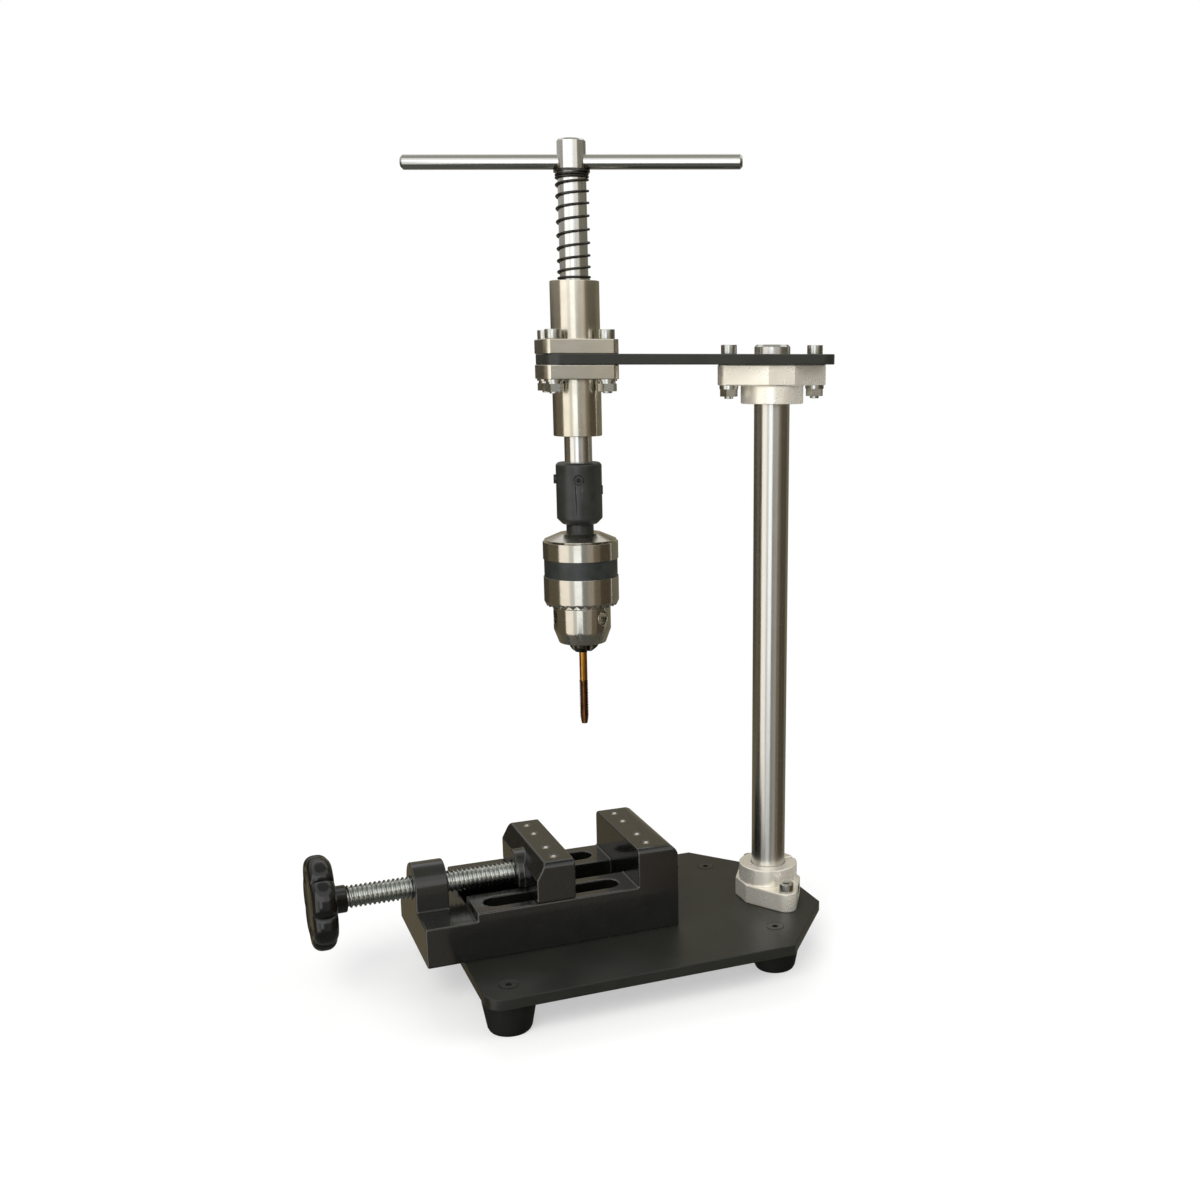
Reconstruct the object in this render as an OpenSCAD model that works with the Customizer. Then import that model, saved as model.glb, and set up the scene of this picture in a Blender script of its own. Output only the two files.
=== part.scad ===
// Hand tapping stand: a sprung spindle with a key chuck on a swinging arm,
// over a small drill vise that is screwed to a base plate on rubber feet.
// X runs along the vise screw, Y runs to the back, Z is up. The floor is at Z = 0.

/* [Base plate] */
// Length of the base plate along the vise
plate_l = 172; // [166:1:200]
// Width of the base plate
plate_w = 126; // [122:1:160]
// Thickness of the base plate
plate_t = 5; // [4:0.5:8]
// Radius of the two square corners
plate_corner_r = 8; // [4:1:12]
// Length of the tapered end around the column
plate_taper_l = 33; // [28:1:36]
// Width of the narrow end
plate_end_w = 46; // [40:1:60]

/* [Feet] */
// Largest diameter of a rubber foot
foot_d = 23; // [20:0.5:24]
// Diameter of a foot where it meets the floor
foot_low_d = 19; // [16:0.5:20]
// Height of a foot
foot_h = 14.5; // [12:0.5:20]
// Distance of the left feet from the left edge of the plate
foot_left_in = 12; // [12:0.5:18]
// Distance of the right feet from the column axis
foot_right_out = 13.5; // [12:0.5:14]
// Distance of the left feet from the long edges of the plate
foot_left_edge = 13; // [12:0.5:17]
// Distance of the right feet from the long edges of the plate
foot_right_edge = 22; // [20:0.5:24]
// Diameter of the foot screws
foot_screw_d = 4; // [3:0.5:5]

/* [Column] */
// Diameter of the column
column_d = 16; // [14:1:18]
// Length of the column above the arm
column_over = 4; // [2:0.5:12]
// Distance of the column axis from the narrow end of the plate
column_end = 19; // [17:0.5:22]
// Distance of the column axis in front of the middle of the plate
column_front = 5; // [0:0.5:8]

/* [Column flanges] */
// Radius of the round ends of a flange
flange_round_r = 5; // [4:0.5:6]
// Width of a flange across its middle
flange_w = 29; // [28:0.5:32]
// Length of the straight side at the middle of a flange
flange_flat = 12; // [8:1:16]
// Thickness of a flange
flange_t = 9; // [8:0.5:11]
// Distance between the hub and the screws' washers
flange_hub_gap = 1.8; // [1:0.1:2.5]
// Height of a flange with its hub
flange_h = 17; // [15:0.5:20]
// Distance between the two fixing screws
flange_pitch = 40; // [38:0.5:42]
// Diameter of the fixing screws
flange_screw_d = 4; // [4:0.5:5]
// Width of the clamping slit
flange_slit_w = 1.8; // [1:0.1:2.5]
// Diameter of the clamping screw
clamp_screw_d = 3; // [2.5:0.5:3.5]

/* [Arm] */
// Distance of the spindle axis to the left of the column axis
arm_reach = 86.9; // [80:0.1:100]
// Distance of the spindle axis behind the column axis
arm_set_back = 13; // [0:0.5:16]
// Height of the underside of the arm above the base plate
arm_up = 251.5; // [245:0.5:253]
// Thickness of the arm
arm_t = 4.5; // [4:0.5:6]
// Arm plate left beside the bearing flange at each side
arm_side_edge = 0.5; // [0.3:0.1:3]
// Length of the arm past the column flange
arm_over = 0.5; // [0.5:0.5:6]
// Corner radius of the arm
arm_corner_r = 7; // [2:0.5:8]

/* [Spindle bearings] */
// Outer diameter of a bearing
bearing_d = 21; // [20:0.5:22]
// Length of a bearing with its flange
bearing_l = 30; // [28:1:34]
// Flange left beside a screw's washer at the flat sides
bearing_flange_edge = 0.5; // [0.3:0.1:1]
// Flange left beside a screw's washer at the cut corners
bearing_corner_edge = 0.8; // [0.5:0.1:1.5]
// Thickness of the bearing flange
bearing_flange_t = 6; // [5:0.5:8]
// Gap between the barrel and a flange screw's washer
bearing_barrel_gap = 1.3; // [1:0.1:2]
// Diameter of the flange screws
bearing_screw_d = 4; // [3:0.5:4]

/* [Spindle] */
// Diameter of the spindle
spindle_d = 12; // [12:0.5:12.5]
// Height of the spindle above the cross bar axis
spindle_over = 8.8; // [7:0.1:12]
// Diameter of the cross bar
bar_d = 6; // [5:0.5:7]
// Length of the cross bar
bar_l = 142; // [120:1:180]
// Angle of the cross bar seen from above
bar_angle = -24; // [-90:1:90]
// Downward stroke of the spindle
feed_stroke = 28; // [20:1:28]

/* [Return spring] */
// Diameter of the spring wire
spring_wire_d = 1; // [0.8:0.1:1.1]
// Mean diameter of the spring
spring_mean_d = 15; // [14.8:0.1:16]
// Number of open turns
spring_turns = 8; // [6:1:9]
// Length left in the spring beyond its solid length at the end of the stroke
spring_spare_l = 4.3; // [2:0.1:12]
// Thickness of the washer between spring and cross bar
spring_washer_t = 1; // [0.8:0.1:1.5]

/* [Chuck coupling] */
// Diameter of the coupling
coupling_d = 20; // [18:0.5:22]
// Length of the coupling without its neck
coupling_l = 26.8; // [24:0.2:30]
// Distance of the coupling below the lower bearing
coupling_gap = 11.3; // [9:0.1:14]
// Diameter of the neck
coupling_neck_d = 12; // [11:0.5:13]
// Length of the neck
coupling_neck_l = 3.9; // [3:0.1:6]
// Diameter of the set screws
set_screw_d = 4; // [3:0.5:5]

/* [Chuck] */
// Diameter of the key sleeve
sleeve_d = 33.2; // [33:0.1:36]
// Height of the plain upper stretch of the sleeve
sleeve_top_h = 7.6; // [6:0.1:9]
// Height of the black band
band_h = 7.8; // [6:0.1:9]
// Height of the lower stretch of the sleeve
sleeve_low_h = 10.7; // [10:0.1:13]
// Height of the gear teeth
tooth_h = 3; // [2:0.1:4]
// Number of gear teeth
tooth_count = 28; // [24:1:32]
// Diameter of the nose
nose_d = 25.5; // [25.2:0.1:26.4]
// Length of the nose below the teeth
nose_l = 16.2; // [15:0.1:18]
// Diameter of the key holes
key_hole_d = 6; // [5:0.5:6.5]
// Diameter of a chuck jaw
jaw_rod_d = 5.6; // [5:0.1:5.8]
// Length of a chuck jaw
jaw_rod_l = 28; // [25:0.5:29]
// Slope of the chuck jaws against the spindle
jaw_tilt = 9; // [8:0.5:10]
// Travel of a chuck jaw along its own axis
jaw_travel = 5; // [2:0.5:6]

/* [Tap] */
// Diameter of the tap shank
tap_shank_d = 3.5; // [3:0.1:4]
// Diameter of the tap thread
tap_thread_d = 4; // [3:0.1:5]
// Length of the tap that shows below the chuck
tap_out = 33.6; // [28:0.2:40]
// Length of the threaded stretch
tap_thread_l = 20; // [14:0.5:24]

/* [Vise body] */
// Length of the vise body
vise_l = 115.5; // [112:0.5:120]
// Width of the vise
vise_w = 61; // [60:0.5:66]
// Distance of the left end of the vise from the column axis
vise_reach = 169; // [167:0.5:175]
// Height of the rails
rail_h = 21.5; // [20:0.5:24]
// Width of the open channel between the rails
channel_w = 17; // [16:0.5:18]
// Height of the lower ledge at the left end
ledge_h = 17.7; // [14:0.1:18]
// Length of the lower ledge
ledge_l = 22.5; // [20:0.5:24]
// Height of the jaws
vise_jaw_h = 39.5; // [38:0.5:44]
// Thickness of the fixed jaw
fixed_jaw_t = 19.3; // [18:0.1:21]
// Radius of the back edge of the fixed jaw
fixed_jaw_r = 6; // [4:0.5:8]
// Radius of the end edges of both jaws
jaw_end_r = 3; // [1:0.5:4]
// Opening between the jaws
jaw_gap = 29.5; // [28:0.5:32]
// Thickness of the moving jaw
moving_jaw_t = 17.5; // [16:0.5:19]
// Width of the slots in the rails
slot_w = 10.5; // [9:0.5:11]
// Distance of a slot from the left end of the vise
slot_left_in = 27.7; // [26:0.1:32]
// Distance of a slot from the fixed jaw
slot_right_in = 6.5; // [5:0.5:9]
// Distance of a slot from the middle of the vise
slot_out = 19.5; // [19.3:0.1:20]
// Diameter of the dimples on the jaws
dimple_d = 3.6; // [3:0.1:4]

/* [Vise screw] */
// Diameter of the vise screw
screw_d = 10; // [9:0.5:11]
// Height of the screw axis above the base plate
screw_up = 26; // [25.5:0.1:27]
// Diameter of the boss that holds the screw
boss_d = 22; // [20:0.5:23]
// Thickness of the boss
boss_t = 14.5; // [11:0.5:16]
// Length of the screw between boss and knob collar
screw_out = 28; // [28:0.5:34]
// Diameter of the knob over its lobes
knob_d = 43; // [36:0.5:44]
// Thickness of the knob
knob_t = 10.5; // [10:0.5:15]
// Number of lobes on the knob
knob_lobes = 7; // [5:1:9]
// Length of the collar between knob and screw
knob_collar_l = 5.5; // [4:0.5:8]

/* [Fits] */
// Radial clearance of a running fit
fit = 0.05; // [0.02:0.01:0.08]
// Gap between faces that slide on each other
slide_gap = 0.1; // [0.05:0.01:0.2]
// Radial clearance of a screw hole
hole_gap = 0.25; // [0.15:0.05:0.3]

/* [Hidden] */
$fn = 48;
// Overrun of every cut past the face it leaves through
over = 1;

// Screw heads and nuts follow the thread diameter by the usual shares
cap_head_d_share = 1.75;
cap_head_h_share = 1;
hex_socket_share = 0.75;
nut_af_share = 1.75;
nut_h_share = 0.8;
washer_d_share = 2.1;
washer_t_share = 0.2;
spring_washer_t_share = 0.25;
cone_head_d_share = 1.9;
cone_head_h_share = 0.5;

flange_l = flange_pitch + 2 * flange_round_r;
flange_hub_d = flange_pitch - flange_screw_d * washer_d_share - 2 * flange_hub_gap;
bearing_washer_d = bearing_screw_d * washer_d_share;
bearing_pitch_d = bearing_d + bearing_washer_d + 2 * bearing_barrel_gap;
bearing_flange_w = bearing_pitch_d * cos(45) + bearing_washer_d + 2 * bearing_flange_edge;
bearing_flange_d = bearing_pitch_d + bearing_washer_d + 2 * bearing_corner_edge;
arm_w = bearing_flange_w + 2 * arm_side_edge;

// Places along X and Y; the origin is below the middle of the whole stand
arm_swing = atan2(arm_set_back, arm_reach);
arm_right_reach = (flange_l / 2 + arm_over - arm_corner_r) * cos(arm_swing)
    + (arm_w / 2 - arm_corner_r) * sin(arm_swing) + arm_corner_r;
right_reach = max(column_end, arm_right_reach);
stand_l = knob_t + knob_collar_l + screw_out + vise_reach + right_reach;
column_x = stand_l / 2 - right_reach;
column_y = -column_front;
plate_left_x = column_x + column_end - plate_l;
spindle_x = column_x - arm_reach;
spindle_y = column_y + arm_set_back;
vise_x = column_x - vise_reach;
vise_y = spindle_y;
arm_length = sqrt(arm_reach * arm_reach + arm_set_back * arm_set_back);
arm_angle = 180 - arm_swing;

// Heights
deck_z = foot_h + plate_t;
arm_z = deck_z + arm_up;
column_l = arm_up + arm_t + column_over;
bearing_top_z = arm_z + arm_t + bearing_l;
bearing_low_z = arm_z - bearing_l;
closed_turns = 1;
spring_l = feed_stroke + spring_spare_l + (spring_turns + 2 * closed_turns + 1) * spring_wire_d;
bar_z = bearing_top_z + spring_l + spring_washer_t + slide_gap + bar_d / 2;
coupling_top_z = bearing_low_z - coupling_gap;
chuck_top_z = coupling_top_z - coupling_l - coupling_neck_l;
screw_z = deck_z + screw_up;

module at(x, y, z) { translate([x, y, z]) children(); }

module tube(outer_d, inner_d, h) {
    difference() {
        cylinder(d = outer_d, h = h);
        translate([0, 0, -over]) cylinder(d = inner_d, h = h + 2 * over);
    }
}

module along_x() { rotate([0, 90, 0]) children(); }
module along_y() { rotate([-90, 0, 0]) children(); }

// Cap screw with its seat at Z = 0, head above and shank below
module cap_screw(d, shank_l) {
    head_h = d * cap_head_h_share;
    difference() {
        union() {
            cylinder(d = d * cap_head_d_share, h = head_h);
            translate([0, 0, -shank_l]) cylinder(d = d, h = shank_l + head_h / 2);
        }
        translate([0, 0, head_h / 2]) cylinder(d = d * hex_socket_share, h = head_h, $fn = 6);
    }
}

module washer(d, t_share) {
    tube(d * washer_d_share, d + 2 * hole_gap, d * t_share);
}

module hex_nut(d) {
    h = d * nut_h_share;
    difference() {
        cylinder(d = d * nut_af_share / cos(30), h = h, $fn = 6);
        translate([0, 0, -over]) cylinder(d = d + 2 * fit, h = h + 2 * over);
    }
}

// Base plate with its tapered end
plate_right_x = column_x + column_end;
foot_left_x = plate_left_x + foot_left_in;
foot_right_x = column_x - foot_right_out;
foot_left_y = plate_w / 2 - foot_left_edge;
foot_right_y = plate_w / 2 - foot_right_edge;
foot_places = [
    [foot_left_x, -foot_left_y], [foot_right_x, -foot_right_y],
    [foot_left_x, foot_left_y], [foot_right_x, foot_right_y]];
flange_screw_places = [for (side = [-1, 1]) [column_x, column_y + side * flange_pitch / 2]];
// The two vise screws sit in the round ends of the two slots, at opposite ends
slot_l = vise_l - fixed_jaw_t - slot_left_in - slot_right_in;
slot_x = vise_x + slot_left_in + slot_l / 2;
mount_in = slot_w / 2;
vise_mounts = [
    [slot_x + slot_l / 2 - mount_in, vise_y - slot_out],
    [slot_x - slot_l / 2 + mount_in, vise_y + slot_out]];
mount_screw_d = 4;

module plate_outline() {
    r = plate_corner_r;
    left = plate_left_x;
    shoulder_x = plate_right_x - plate_taper_l;
    polygon([
        [left + r, -plate_w / 2], [shoulder_x, -plate_w / 2], [plate_right_x, -plate_end_w / 2],
        [plate_right_x, plate_end_w / 2], [shoulder_x, plate_w / 2], [left + r, plate_w / 2],
        [left + r, plate_w / 2 - r], [left, plate_w / 2 - r],
        [left, r - plate_w / 2], [left + r, r - plate_w / 2]]);
    for (side = [-1, 1]) translate([left + r, side * (plate_w / 2 - r)]) circle(r = r);
}

module base_plate() {
    color("#1d1e1c") difference() {
        at(0, 0, foot_h) linear_extrude(plate_t) plate_outline();
        for (p = foot_places) at(p[0], p[1], foot_h) {
            translate([0, 0, -over]) cylinder(d = foot_screw_d + 2 * hole_gap, h = plate_t + 2 * over);
            translate([0, 0, plate_t - foot_screw_d * cone_head_h_share - slide_gap])
                cylinder(d1 = foot_screw_d, d2 = foot_screw_d * (cone_head_d_share + cap_head_h_share),
                    h = foot_screw_d);
        }
        for (p = flange_screw_places) at(p[0], p[1], foot_h - over)
            cylinder(d = flange_screw_d + 2 * fit, h = plate_t + 2 * over);
        for (p = vise_mounts) at(p[0], p[1], foot_h - over)
            cylinder(d = mount_screw_d + 2 * fit, h = plate_t + 2 * over);
    }
}

// Rubber foot with a pocket for its nut
foot_pocket_gap = 1;
foot_pocket_d = foot_screw_d * nut_af_share / cos(30) + foot_pocket_gap;
foot_pocket_h = foot_h / 2;
foot_lip_share = 0.12;
foot_lip_h = foot_h * foot_lip_share;
module foot(i) {
    p = foot_places[i];
    color("#161615") at(p[0], p[1], 0) difference() {
        union() {
            cylinder(d1 = foot_low_d - foot_lip_h, d2 = foot_low_d, h = foot_lip_h);
            at(0, 0, foot_lip_h) cylinder(d1 = foot_low_d, d2 = foot_d, h = foot_h - 2 * foot_lip_h);
            at(0, 0, foot_h - foot_lip_h) cylinder(d = foot_d, h = foot_lip_h);
        }
        at(0, 0, -over) cylinder(d = foot_screw_d + 2 * hole_gap, h = foot_h + 2 * over);
        at(0, 0, -over) cylinder(d = foot_pocket_d, h = foot_pocket_h + over);
    }
}
module foot_front_left() { foot(0); }
module foot_front_right() { foot(1); }
module foot_rear_left() { foot(2); }
module foot_rear_right() { foot(3); }

foot_nut_z = foot_pocket_h - foot_screw_d * nut_h_share;
module foot_screws() {
    head_h = foot_screw_d * cone_head_h_share;
    head_d = foot_screw_d * cone_head_d_share;
    color("#3a3a38") for (p = foot_places) at(p[0], p[1], 0) difference() {
        union() {
            at(0, 0, foot_nut_z) cylinder(d = foot_screw_d, h = deck_z - foot_nut_z - head_h / 2);
            at(0, 0, deck_z - head_h) cylinder(d1 = foot_screw_d, d2 = head_d, h = head_h);
        }
        at(0, 0, deck_z - head_h / 2)
            cylinder(d = foot_screw_d * hex_socket_share, h = head_h, $fn = 6);
    }
}
module foot_nuts() {
    color("#a9a9a4") for (p = foot_places) at(p[0], p[1], foot_nut_z) hex_nut(foot_screw_d);
}

// Column flange: long axis along X, hub up, clamping slit towards +Y
clamp_wall = 1;
clamp_y = column_d / 2 + clamp_screw_d / 2 + clamp_wall;
clamp_z = flange_t / 2;
clamp_head_x = flange_flat / 2 - clamp_screw_d / 2;
clamp_tip_x = -flange_flat / 2 - clamp_screw_d;
// The four corner points where the straight flanks touch the round ends
flank_x = flange_pitch / 2 - flange_flat / 2;
flank_turn = atan2(flange_w / 2, flank_x)
    - asin(flange_round_r / sqrt(flank_x * flank_x + flange_w * flange_w / 4));
touch_x = flange_pitch / 2 + flange_round_r * sin(flank_turn);
touch_y = flange_round_r * cos(flank_turn);
module flange_outline() {
    polygon([
        [flange_flat / 2, flange_w / 2], [touch_x, touch_y], [touch_x, -touch_y],
        [flange_flat / 2, -flange_w / 2], [-flange_flat / 2, -flange_w / 2],
        [-touch_x, -touch_y], [-touch_x, touch_y], [-flange_flat / 2, flange_w / 2]]);
    for (side = [-1, 1]) translate([side * flange_pitch / 2, 0]) circle(r = flange_round_r);
}
module column_flange() {
    difference() {
        union() {
            linear_extrude(flange_t) flange_outline();
            cylinder(d = flange_hub_d, h = flange_h);
        }
        at(0, 0, -over) cylinder(d = column_d + 2 * fit, h = flange_h + 2 * over);
        for (side = [-1, 1]) at(side * flange_pitch / 2, 0, -over)
            cylinder(d = flange_screw_d + 2 * hole_gap, h = flange_t + 2 * over);
        translate([-flange_slit_w / 2, 0, -over])
            cube([flange_slit_w, flange_w, flange_h + 2 * over]);
        at(-flange_w, clamp_y, clamp_z) along_x() cylinder(d = clamp_screw_d + 2 * fit, h = 2 * flange_w);
        at(clamp_head_x, clamp_y, clamp_z) along_x()
            cylinder(d = clamp_screw_d * cap_head_d_share + 2 * hole_gap, h = flange_w);
    }
}
module clamp_screw() {
    at(clamp_head_x, clamp_y, clamp_z) along_x()
        cap_screw(clamp_screw_d, clamp_head_x - clamp_tip_x);
}

// The lower flange lies across the plate, with its slit to the right
module at_base_flange() { at(column_x, column_y, deck_z) rotate([0, 0, -90]) children(); }
module base_flange() { color("#c9c6bf") at_base_flange() column_flange(); }
module base_flange_screws() {
    color("#8f8f8b") for (p = flange_screw_places) at(p[0], p[1], deck_z + flange_t)
        cap_screw(flange_screw_d, flange_t + plate_t);
}
module base_clamp_screw() { color("#33322f") at_base_flange() clamp_screw(); }

edge_share = 0.0625;
module column() {
    edge = column_d * edge_share;
    color("#d2d2d0") at(column_x, column_y, deck_z + slide_gap) {
        cylinder(d = column_d, h = column_l - edge);
        at(0, 0, column_l - edge) cylinder(d1 = column_d, d2 = column_d - 2 * edge, h = edge);
    }
}

// The arm and what is bolted to it, drawn along +X from the column axis
module at_arm(z) { at(column_x, column_y, z) rotate([0, 0, arm_angle]) children(); }
module at_spindle(z) { at(spindle_x, spindle_y, z) children(); }
arm_left = arm_length + bearing_flange_w / 2;
arm_right = -flange_l / 2 - arm_over;
bearing_screw_places = [for (a = [45 : 90 : 315])
    [bearing_pitch_d / 2 * cos(a), bearing_pitch_d / 2 * sin(a)]];
arm_flange_places = [for (side = [-1, 1]) [side * flange_pitch / 2, 0]];

module rounded_bar(x0, x1, w, r) {
    translate([x0 + r, -w / 2]) square([x1 - x0 - 2 * r, w]);
    translate([x0, r - w / 2]) square([x1 - x0, w - 2 * r]);
    for (x = [x0 + r, x1 - r], side = [-1, 1]) translate([x, side * (w / 2 - r)]) circle(r = r);
}

// Room around the spindle in the arm's hole
spindle_room = 2;
module arm_plate() {
    color("#262724") at_arm(arm_z) difference() {
        linear_extrude(arm_t) rounded_bar(arm_right, arm_left, arm_w, arm_corner_r);
        at(0, 0, -over) cylinder(d = column_d + 2 * fit, h = arm_t + 2 * over);
        at(arm_length, 0, -over) cylinder(d = spindle_d + spindle_room, h = arm_t + 2 * over);
        for (p = arm_flange_places) at(p[0], p[1], -over)
            cylinder(d = flange_screw_d + 2 * hole_gap, h = arm_t + 2 * over);
        for (p = bearing_screw_places) at(arm_length + p[0], p[1], -over)
            cylinder(d = bearing_screw_d + 2 * hole_gap, h = arm_t + 2 * over);
    }
}
// The upper flange hangs under the arm, with its slit at the back
module at_arm_flange() { at_arm(arm_z) rotate([180, 0, 0]) children(); }
module arm_flange() { color("#c9c6bf") at_arm_flange() column_flange(); }
module arm_clamp_screw() { color("#33322f") at_arm_flange() clamp_screw(); }
arm_washer_t = flange_screw_d * washer_t_share;
module arm_flange_screws() {
    grip = arm_t + flange_t + 2 * arm_washer_t + flange_screw_d * nut_h_share + flange_screw_d / 4;
    color("#b9b9b5") at_arm(arm_z + arm_t) for (p = arm_flange_places) at(p[0], p[1], 0)
        cap_screw(flange_screw_d, grip);
}
module arm_flange_washers() {
    color("#b9b9b5") at_arm(arm_z - flange_t) for (p = arm_flange_places) at(p[0], p[1], -2 * arm_washer_t)
        washer(flange_screw_d, 2 * washer_t_share);
}
module arm_flange_nuts() {
    drop = 2 * arm_washer_t + flange_screw_d * nut_h_share;
    color("#b9b9b5") at_arm(arm_z - flange_t - drop) for (p = arm_flange_places) at(p[0], p[1], 0)
        hex_nut(flange_screw_d);
}

// Ball bushing with a square flange at Z = 0 and its barrel above
shell_wall = 1.9;
cage_d = bearing_d - 2 * shell_wall;
seal_t = 2;
module bushing() {
    difference() {
        union() {
            cylinder(d = bearing_d, h = bearing_l);
            intersection() {
                translate([-bearing_flange_w / 2, -bearing_flange_w / 2, 0])
                    cube([bearing_flange_w, bearing_flange_w, bearing_flange_t]);
                cylinder(d = bearing_flange_d, h = bearing_flange_t);
            }
        }
        at(0, 0, -over) cylinder(d = cage_d, h = bearing_l + 2 * over);
        for (p = bearing_screw_places) at(p[0], p[1], -over)
            cylinder(d = bearing_screw_d + 2 * hole_gap, h = bearing_flange_t + 2 * over);
    }
}
module at_upper_bearing() { at_spindle(arm_z + arm_t) rotate([0, 0, arm_angle]) children(); }
module at_lower_bearing() { at_spindle(arm_z) rotate([0, 0, arm_angle]) rotate([180, 0, 0]) children(); }
module both_bearings() {
    at_upper_bearing() children();
    at_lower_bearing() children();
}
module upper_bearing() { color("#b4aea2") at_upper_bearing() bushing(); }
module lower_bearing() { color("#b4aea2") at_lower_bearing() bushing(); }
module bearing_cages() {
    color("#e8e6df") both_bearings() at(0, 0, seal_t)
        tube(cage_d, spindle_d + 2 * fit, bearing_l - 2 * seal_t);
}
module bearing_seals() {
    color("#222222") both_bearings() for (z = [0, bearing_l - seal_t]) at(0, 0, z)
        tube(cage_d, spindle_d + 2 * fit, seal_t);
}
bearing_washer_t = bearing_screw_d * washer_t_share;
bearing_spring_t = bearing_screw_d * spring_washer_t_share;
bearing_stack = bearing_washer_t + bearing_spring_t;
module bearing_screws() {
    grip = arm_t + 2 * bearing_flange_t + bearing_stack + bearing_screw_d * (nut_h_share + nut_h_share / 4);
    color("#c4c4c0") at_upper_bearing() for (p = bearing_screw_places)
        at(p[0], p[1], bearing_flange_t) cap_screw(bearing_screw_d, grip);
}
module bearing_washers() {
    color("#c4c4c0") at_lower_bearing() for (p = bearing_screw_places) at(p[0], p[1], bearing_flange_t) {
        washer(bearing_screw_d, washer_t_share);
        at(0, 0, bearing_washer_t)
            tube(bearing_screw_d * nut_af_share, bearing_screw_d + 2 * hole_gap, bearing_spring_t);
    }
}
module bearing_nuts() {
    color("#c4c4c0") at_lower_bearing() for (p = bearing_screw_places)
        at(p[0], p[1], bearing_flange_t + bearing_stack) hex_nut(bearing_screw_d);
}

// Return spring: one wire with a closed turn at each end
curl_rings = 8;
wire_sides = 6;
closed_pitch_share = 1.8;
closed_pitch = spring_wire_d * closed_pitch_share;
spring_end = spring_wire_d;
spring_open_l = spring_l - 2 * spring_end - 2 * closed_turns * closed_pitch;
open_pitch = spring_open_l / spring_turns;
all_turns = spring_turns + 2 * closed_turns;
// Height of the wire's axis after a number of turns
function wire_z(t) = spring_end + (t < closed_turns ? t * closed_pitch
    : t < closed_turns + spring_turns ? closed_turns * closed_pitch + (t - closed_turns) * open_pitch
    : closed_turns * closed_pitch + spring_open_l + (t - closed_turns - spring_turns) * closed_pitch);
function wire_point(t) = [spring_mean_d / 2 * cos(t * 360), spring_mean_d / 2 * sin(t * 360), wire_z(t)];
wire_count = all_turns * curl_rings;
wire_path = concat(
    [wire_point(0) - [0, 0, spring_end]],
    [for (i = [0 : wire_count]) wire_point(i / curl_rings)],
    [wire_point(all_turns) + [0, 0, spring_end]]);
function unit(v) = v / norm(v);
function wire_way(i) = i == 0 || i == len(wire_path) - 1 ? [0, 0, 1]
    : unit(unit(wire_path[i + 1] - wire_path[i]) + unit(wire_path[i] - wire_path[i - 1]));
// Each ring is square to the wire, set out from the spring's radius and the way
function wire_ring(i) =
    let (way = wire_way(i), p = wire_path[i], out = unit([p[0], p[1], 0]),
        flat = unit(out - way * (out * way)), side = cross(way, flat))
    [for (k = [0 : wire_sides - 1])
        p + spring_wire_d / 2 * (flat * cos(k * 360 / wire_sides) + side * sin(k * 360 / wire_sides))];
wire_rings = [for (i = [0 : len(wire_path) - 1]) wire_ring(i)];
function ring_face(i, k) =
    let (a = i * wire_sides + k, b = i * wire_sides + (k + 1) % wire_sides)
    [[a, b, b + wire_sides], [a, b + wire_sides, a + wire_sides]];
wire_gap = min([for (i = [1 : wire_count]) for (j = [i + curl_rings - 2 : 1 : i + curl_rings + 2])
    if (j < wire_count + 1) norm(wire_path[j] - wire_path[i]) - spring_wire_d]);
echo(least_gap_between_spring_turns = wire_gap);
module return_spring() {
    last = len(wire_path) - 1;
    side_faces = [for (i = [0 : last - 1]) for (k = [0 : wire_sides - 1]) each ring_face(i, k)];
    start_cap = [for (k = [1 : wire_sides - 2]) [0, k + 1, k]];
    end_cap = [for (k = [1 : wire_sides - 2])
        [last * wire_sides, last * wire_sides + k, last * wire_sides + k + 1]];
    color("#2c2b29") at_spindle(bearing_top_z) polyhedron(
        points = [for (ring = wire_rings) each ring],
        faces = [for (f = concat(side_faces, start_cap, end_cap)) [f[2], f[1], f[0]]]);
}
module spring_washer() {
    color("#2c2b29") at_spindle(bearing_top_z + spring_l)
        tube(spring_mean_d + 2 * slide_gap, spindle_d + 2 * fit, spring_washer_t);
}

// Spindle, cross bar and coupling
socket_share = 0.6;
socket_depth = coupling_l * socket_share;
bar_edge_share = 0.18;
module spindle_shaft() {
    low_z = coupling_top_z - socket_depth;
    edge = spindle_d * edge_share;
    top_z = bar_z + spindle_over;
    color("#cfcfcc") difference() {
        at_spindle(low_z) {
            cylinder(d = spindle_d, h = top_z - edge - low_z);
            at(0, 0, top_z - edge - low_z)
                cylinder(d1 = spindle_d, d2 = spindle_d - 2 * edge, h = edge);
        }
        at_spindle(bar_z) rotate([0, 0, bar_angle]) at(-spindle_d, 0, 0) along_x()
            cylinder(d = bar_d + 2 * fit, h = 2 * spindle_d);
    }
}
module cross_bar() {
    edge = bar_d * bar_edge_share;
    color("#cfcfcc") at_spindle(bar_z) rotate([0, 0, bar_angle]) {
        at(edge - bar_l / 2, 0, 0) along_x() cylinder(d = bar_d, h = bar_l - 2 * edge);
        for (turn = [0, 180]) rotate([0, 0, turn]) at(bar_l / 2 - edge, 0, 0) along_x()
            cylinder(d1 = bar_d, d2 = bar_d - 2 * edge, h = edge);
    }
}
// Set screws: direction seen from above, and depth below the coupling's top
set_screw_share = 0.27;
set_screws = [
    [252, coupling_l * set_screw_share], [162, coupling_l * set_screw_share],
    [342, socket_depth - set_screw_d]];
set_screw_reach = spindle_d / 2 + fit;
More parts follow.
